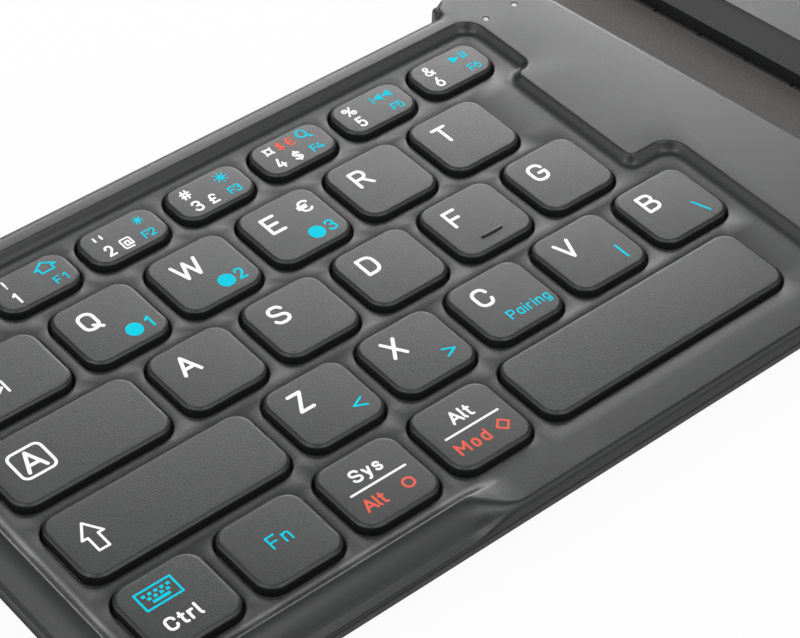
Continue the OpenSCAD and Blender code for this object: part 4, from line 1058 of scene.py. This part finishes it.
# ------------------------------------------------------------------ domes and links under the caps
def lowered(name, node, material):
    """A node's shape, flattened towards the membrane until a cap at the end of its stroke clears it."""
    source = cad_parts[node].data
    points = np.empty(3 * len(source.vertices), dtype=np.float32)
    source.vertices.foreach_get("co", points)
    points = points.reshape(-1, 3) / MM
    corners = np.empty(3 * len(source.polygons), dtype=np.int32)
    source.polygons.foreach_get("vertices", corners)
    low, high = points[:, 2].min(), points[:, 2].max()
    points[:, 2] = low + (points[:, 2] - low) * (CAP_UNDER - STROKE - SEAT_GAP - low) / (high - low)
    solid(name, points, corners.reshape(-1, 3).tolist(), material, node.split("_")[0] + "_leaf", [node])


for side in ("left", "right"):
    lowered(f"{side}_rubber_domes", f"{side}_domes", DOME)
    lowered(f"{side}_key_links", f"{side}_scissor_links", LINK)

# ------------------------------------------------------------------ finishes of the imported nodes
NODE_FINISH = {
    "base_cover": BASE, "key_plate": STEEL, "membrane": MEMBRANE, "feet": FOOT, "screws": DARK_STEEL,
    "main_board": BOARD, "charging_port": STEEL, "status_lights": LIGHT, "spine_bar": SPINE,
    "hinge_pins": DARK_STEEL, "flex_cable": FLEX, "battery": BATTERY,
}
for node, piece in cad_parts.items():
    for ending, material in NODE_FINISH.items():
        if node.endswith(ending):
            piece.data.materials.clear()
            piece.data.materials.append(material)


# ------------------------------------------------------------------ camera, floor and light
EYE = (-0.30956, -0.19883, 0.29161)
EYE_TURN, EYE_TILT, EYE_ROLL = -0.79965, 0.8021, -0.0416
camera = bpy.data.objects.new("camera", bpy.data.cameras.new("camera"))
bpy.context.scene.collection.objects.link(camera)
camera.data.sensor_width = 36.0
camera.data.lens = 119.52
camera.data.clip_start = 0.01
camera.matrix_world = (
    Matrix.Translation(EYE) @ Matrix.Rotation(EYE_TURN, 4, "Z")
    @ Matrix.Rotation(EYE_TILT, 4, "X") @ Matrix.Rotation(EYE_ROLL, 4, "Y")
)
bpy.context.scene.camera = camera


def camera_view(tree, lit, seen, output, share):
    """The camera's own rays meet a share of seen over lit; all other light meets lit."""
    ray = tree.nodes.new("ShaderNodeLightPath").outputs["Is Camera Ray"]
    part = wired(tree, "Math", {0: ray, 1: share}, operation="MULTIPLY").outputs[0]
    mix = wired(tree, "MixShader", {"Fac": part, 1: lit.outputs[0], 2: seen.outputs[0]})
    feed(tree, tree.nodes[output], {"Surface": mix.outputs[0]})


def white_floor(half=3.0, colour=(0.75, 0.75, 0.75, 1), glow_share=0.95):
    """A wide plane whose glow makes it white to the camera, while the object's shadow stays on it."""
    mesh = bpy.data.meshes.new("floor")
    corners = [(-half, -half, 0), (half, -half, 0), (half, half, 0), (-half, half, 0)]
    mesh.from_pydata(corners, [], [(0, 1, 2, 3)])
    floor = bpy.data.objects.new("floor", mesh)
    bpy.context.scene.collection.objects.link(floor)
    m = bpy.data.materials.new("floor white")
    m.use_nodes = True
    tree = m.node_tree
    shader = tree.nodes["Principled BSDF"]
    feed(tree, shader, {"Base Color": colour, "Roughness": 0.9})
    camera_view(tree, shader, wired(tree, "Emission", {}), "Material Output", glow_share)
    mesh.materials.append(m)


white_floor()


# Lamps: azimuth from the camera's heading and height above the floor in degrees, distance, size, power
AIM = np.array([-0.09, 0.0, 0.0])
PANELS = (
    ("low back panel", -9, 11, 0.9, (0.32, 0.14), 1.8),
    ("back panel", 2, 27, 0.8, (0.6, 0.26), 4.2),
    ("high back panel", 0, 48, 0.8, (0.9, 0.17), 0.6),
    ("right panel", -100, 26, 1.2, (0.7, 0.7), 2.8),
    ("left panel", 100, 22, 1.2, (0.7, 0.7), 4.6),
    ("right top panel", -125, 60, 1.0, (0.26, 0.26), 3.2),
    ("left top panel", 125, 60, 1.0, (0.26, 0.26), 3.2),
)
for name, azimuth, height, away, size, power in PANELS:
    heading, height = pi / 2 + EYE_TURN + radians(azimuth), radians(height)
    way = np.array([cos(height) * cos(heading), cos(height) * sin(heading), sin(height)])
    lamp = bpy.data.lights.new(name, "AREA")
    lamp.shape = "RECTANGLE"
    lamp.size, lamp.size_y = size
    lamp.energy = power
    light = bpy.data.objects.new(name, lamp)
    light.location = (AIM + away * way).tolist()
    light.visible_camera = False
    light.rotation_euler = Vector((-way).tolist()).to_track_quat("-Z", "Y").to_euler()
    bpy.context.scene.collection.objects.link(light)

SKY_LIGHT, SKY_WHITE = 0.02, (1, 1, 1, 1)
world = bpy.data.worlds.new("world")
bpy.context.scene.world = world
world.use_nodes = True
sky = world.node_tree.nodes["Background"]
feed(world.node_tree, sky, {"Color": SKY_WHITE, "Strength": SKY_LIGHT})
seen = wired(world.node_tree, "Background", {"Color": SKY_WHITE, "Strength": 1.0})
camera_view(world.node_tree, sky, seen, "World Output", 1.0)
bpy.context.scene.view_settings.view_transform = "Standard"
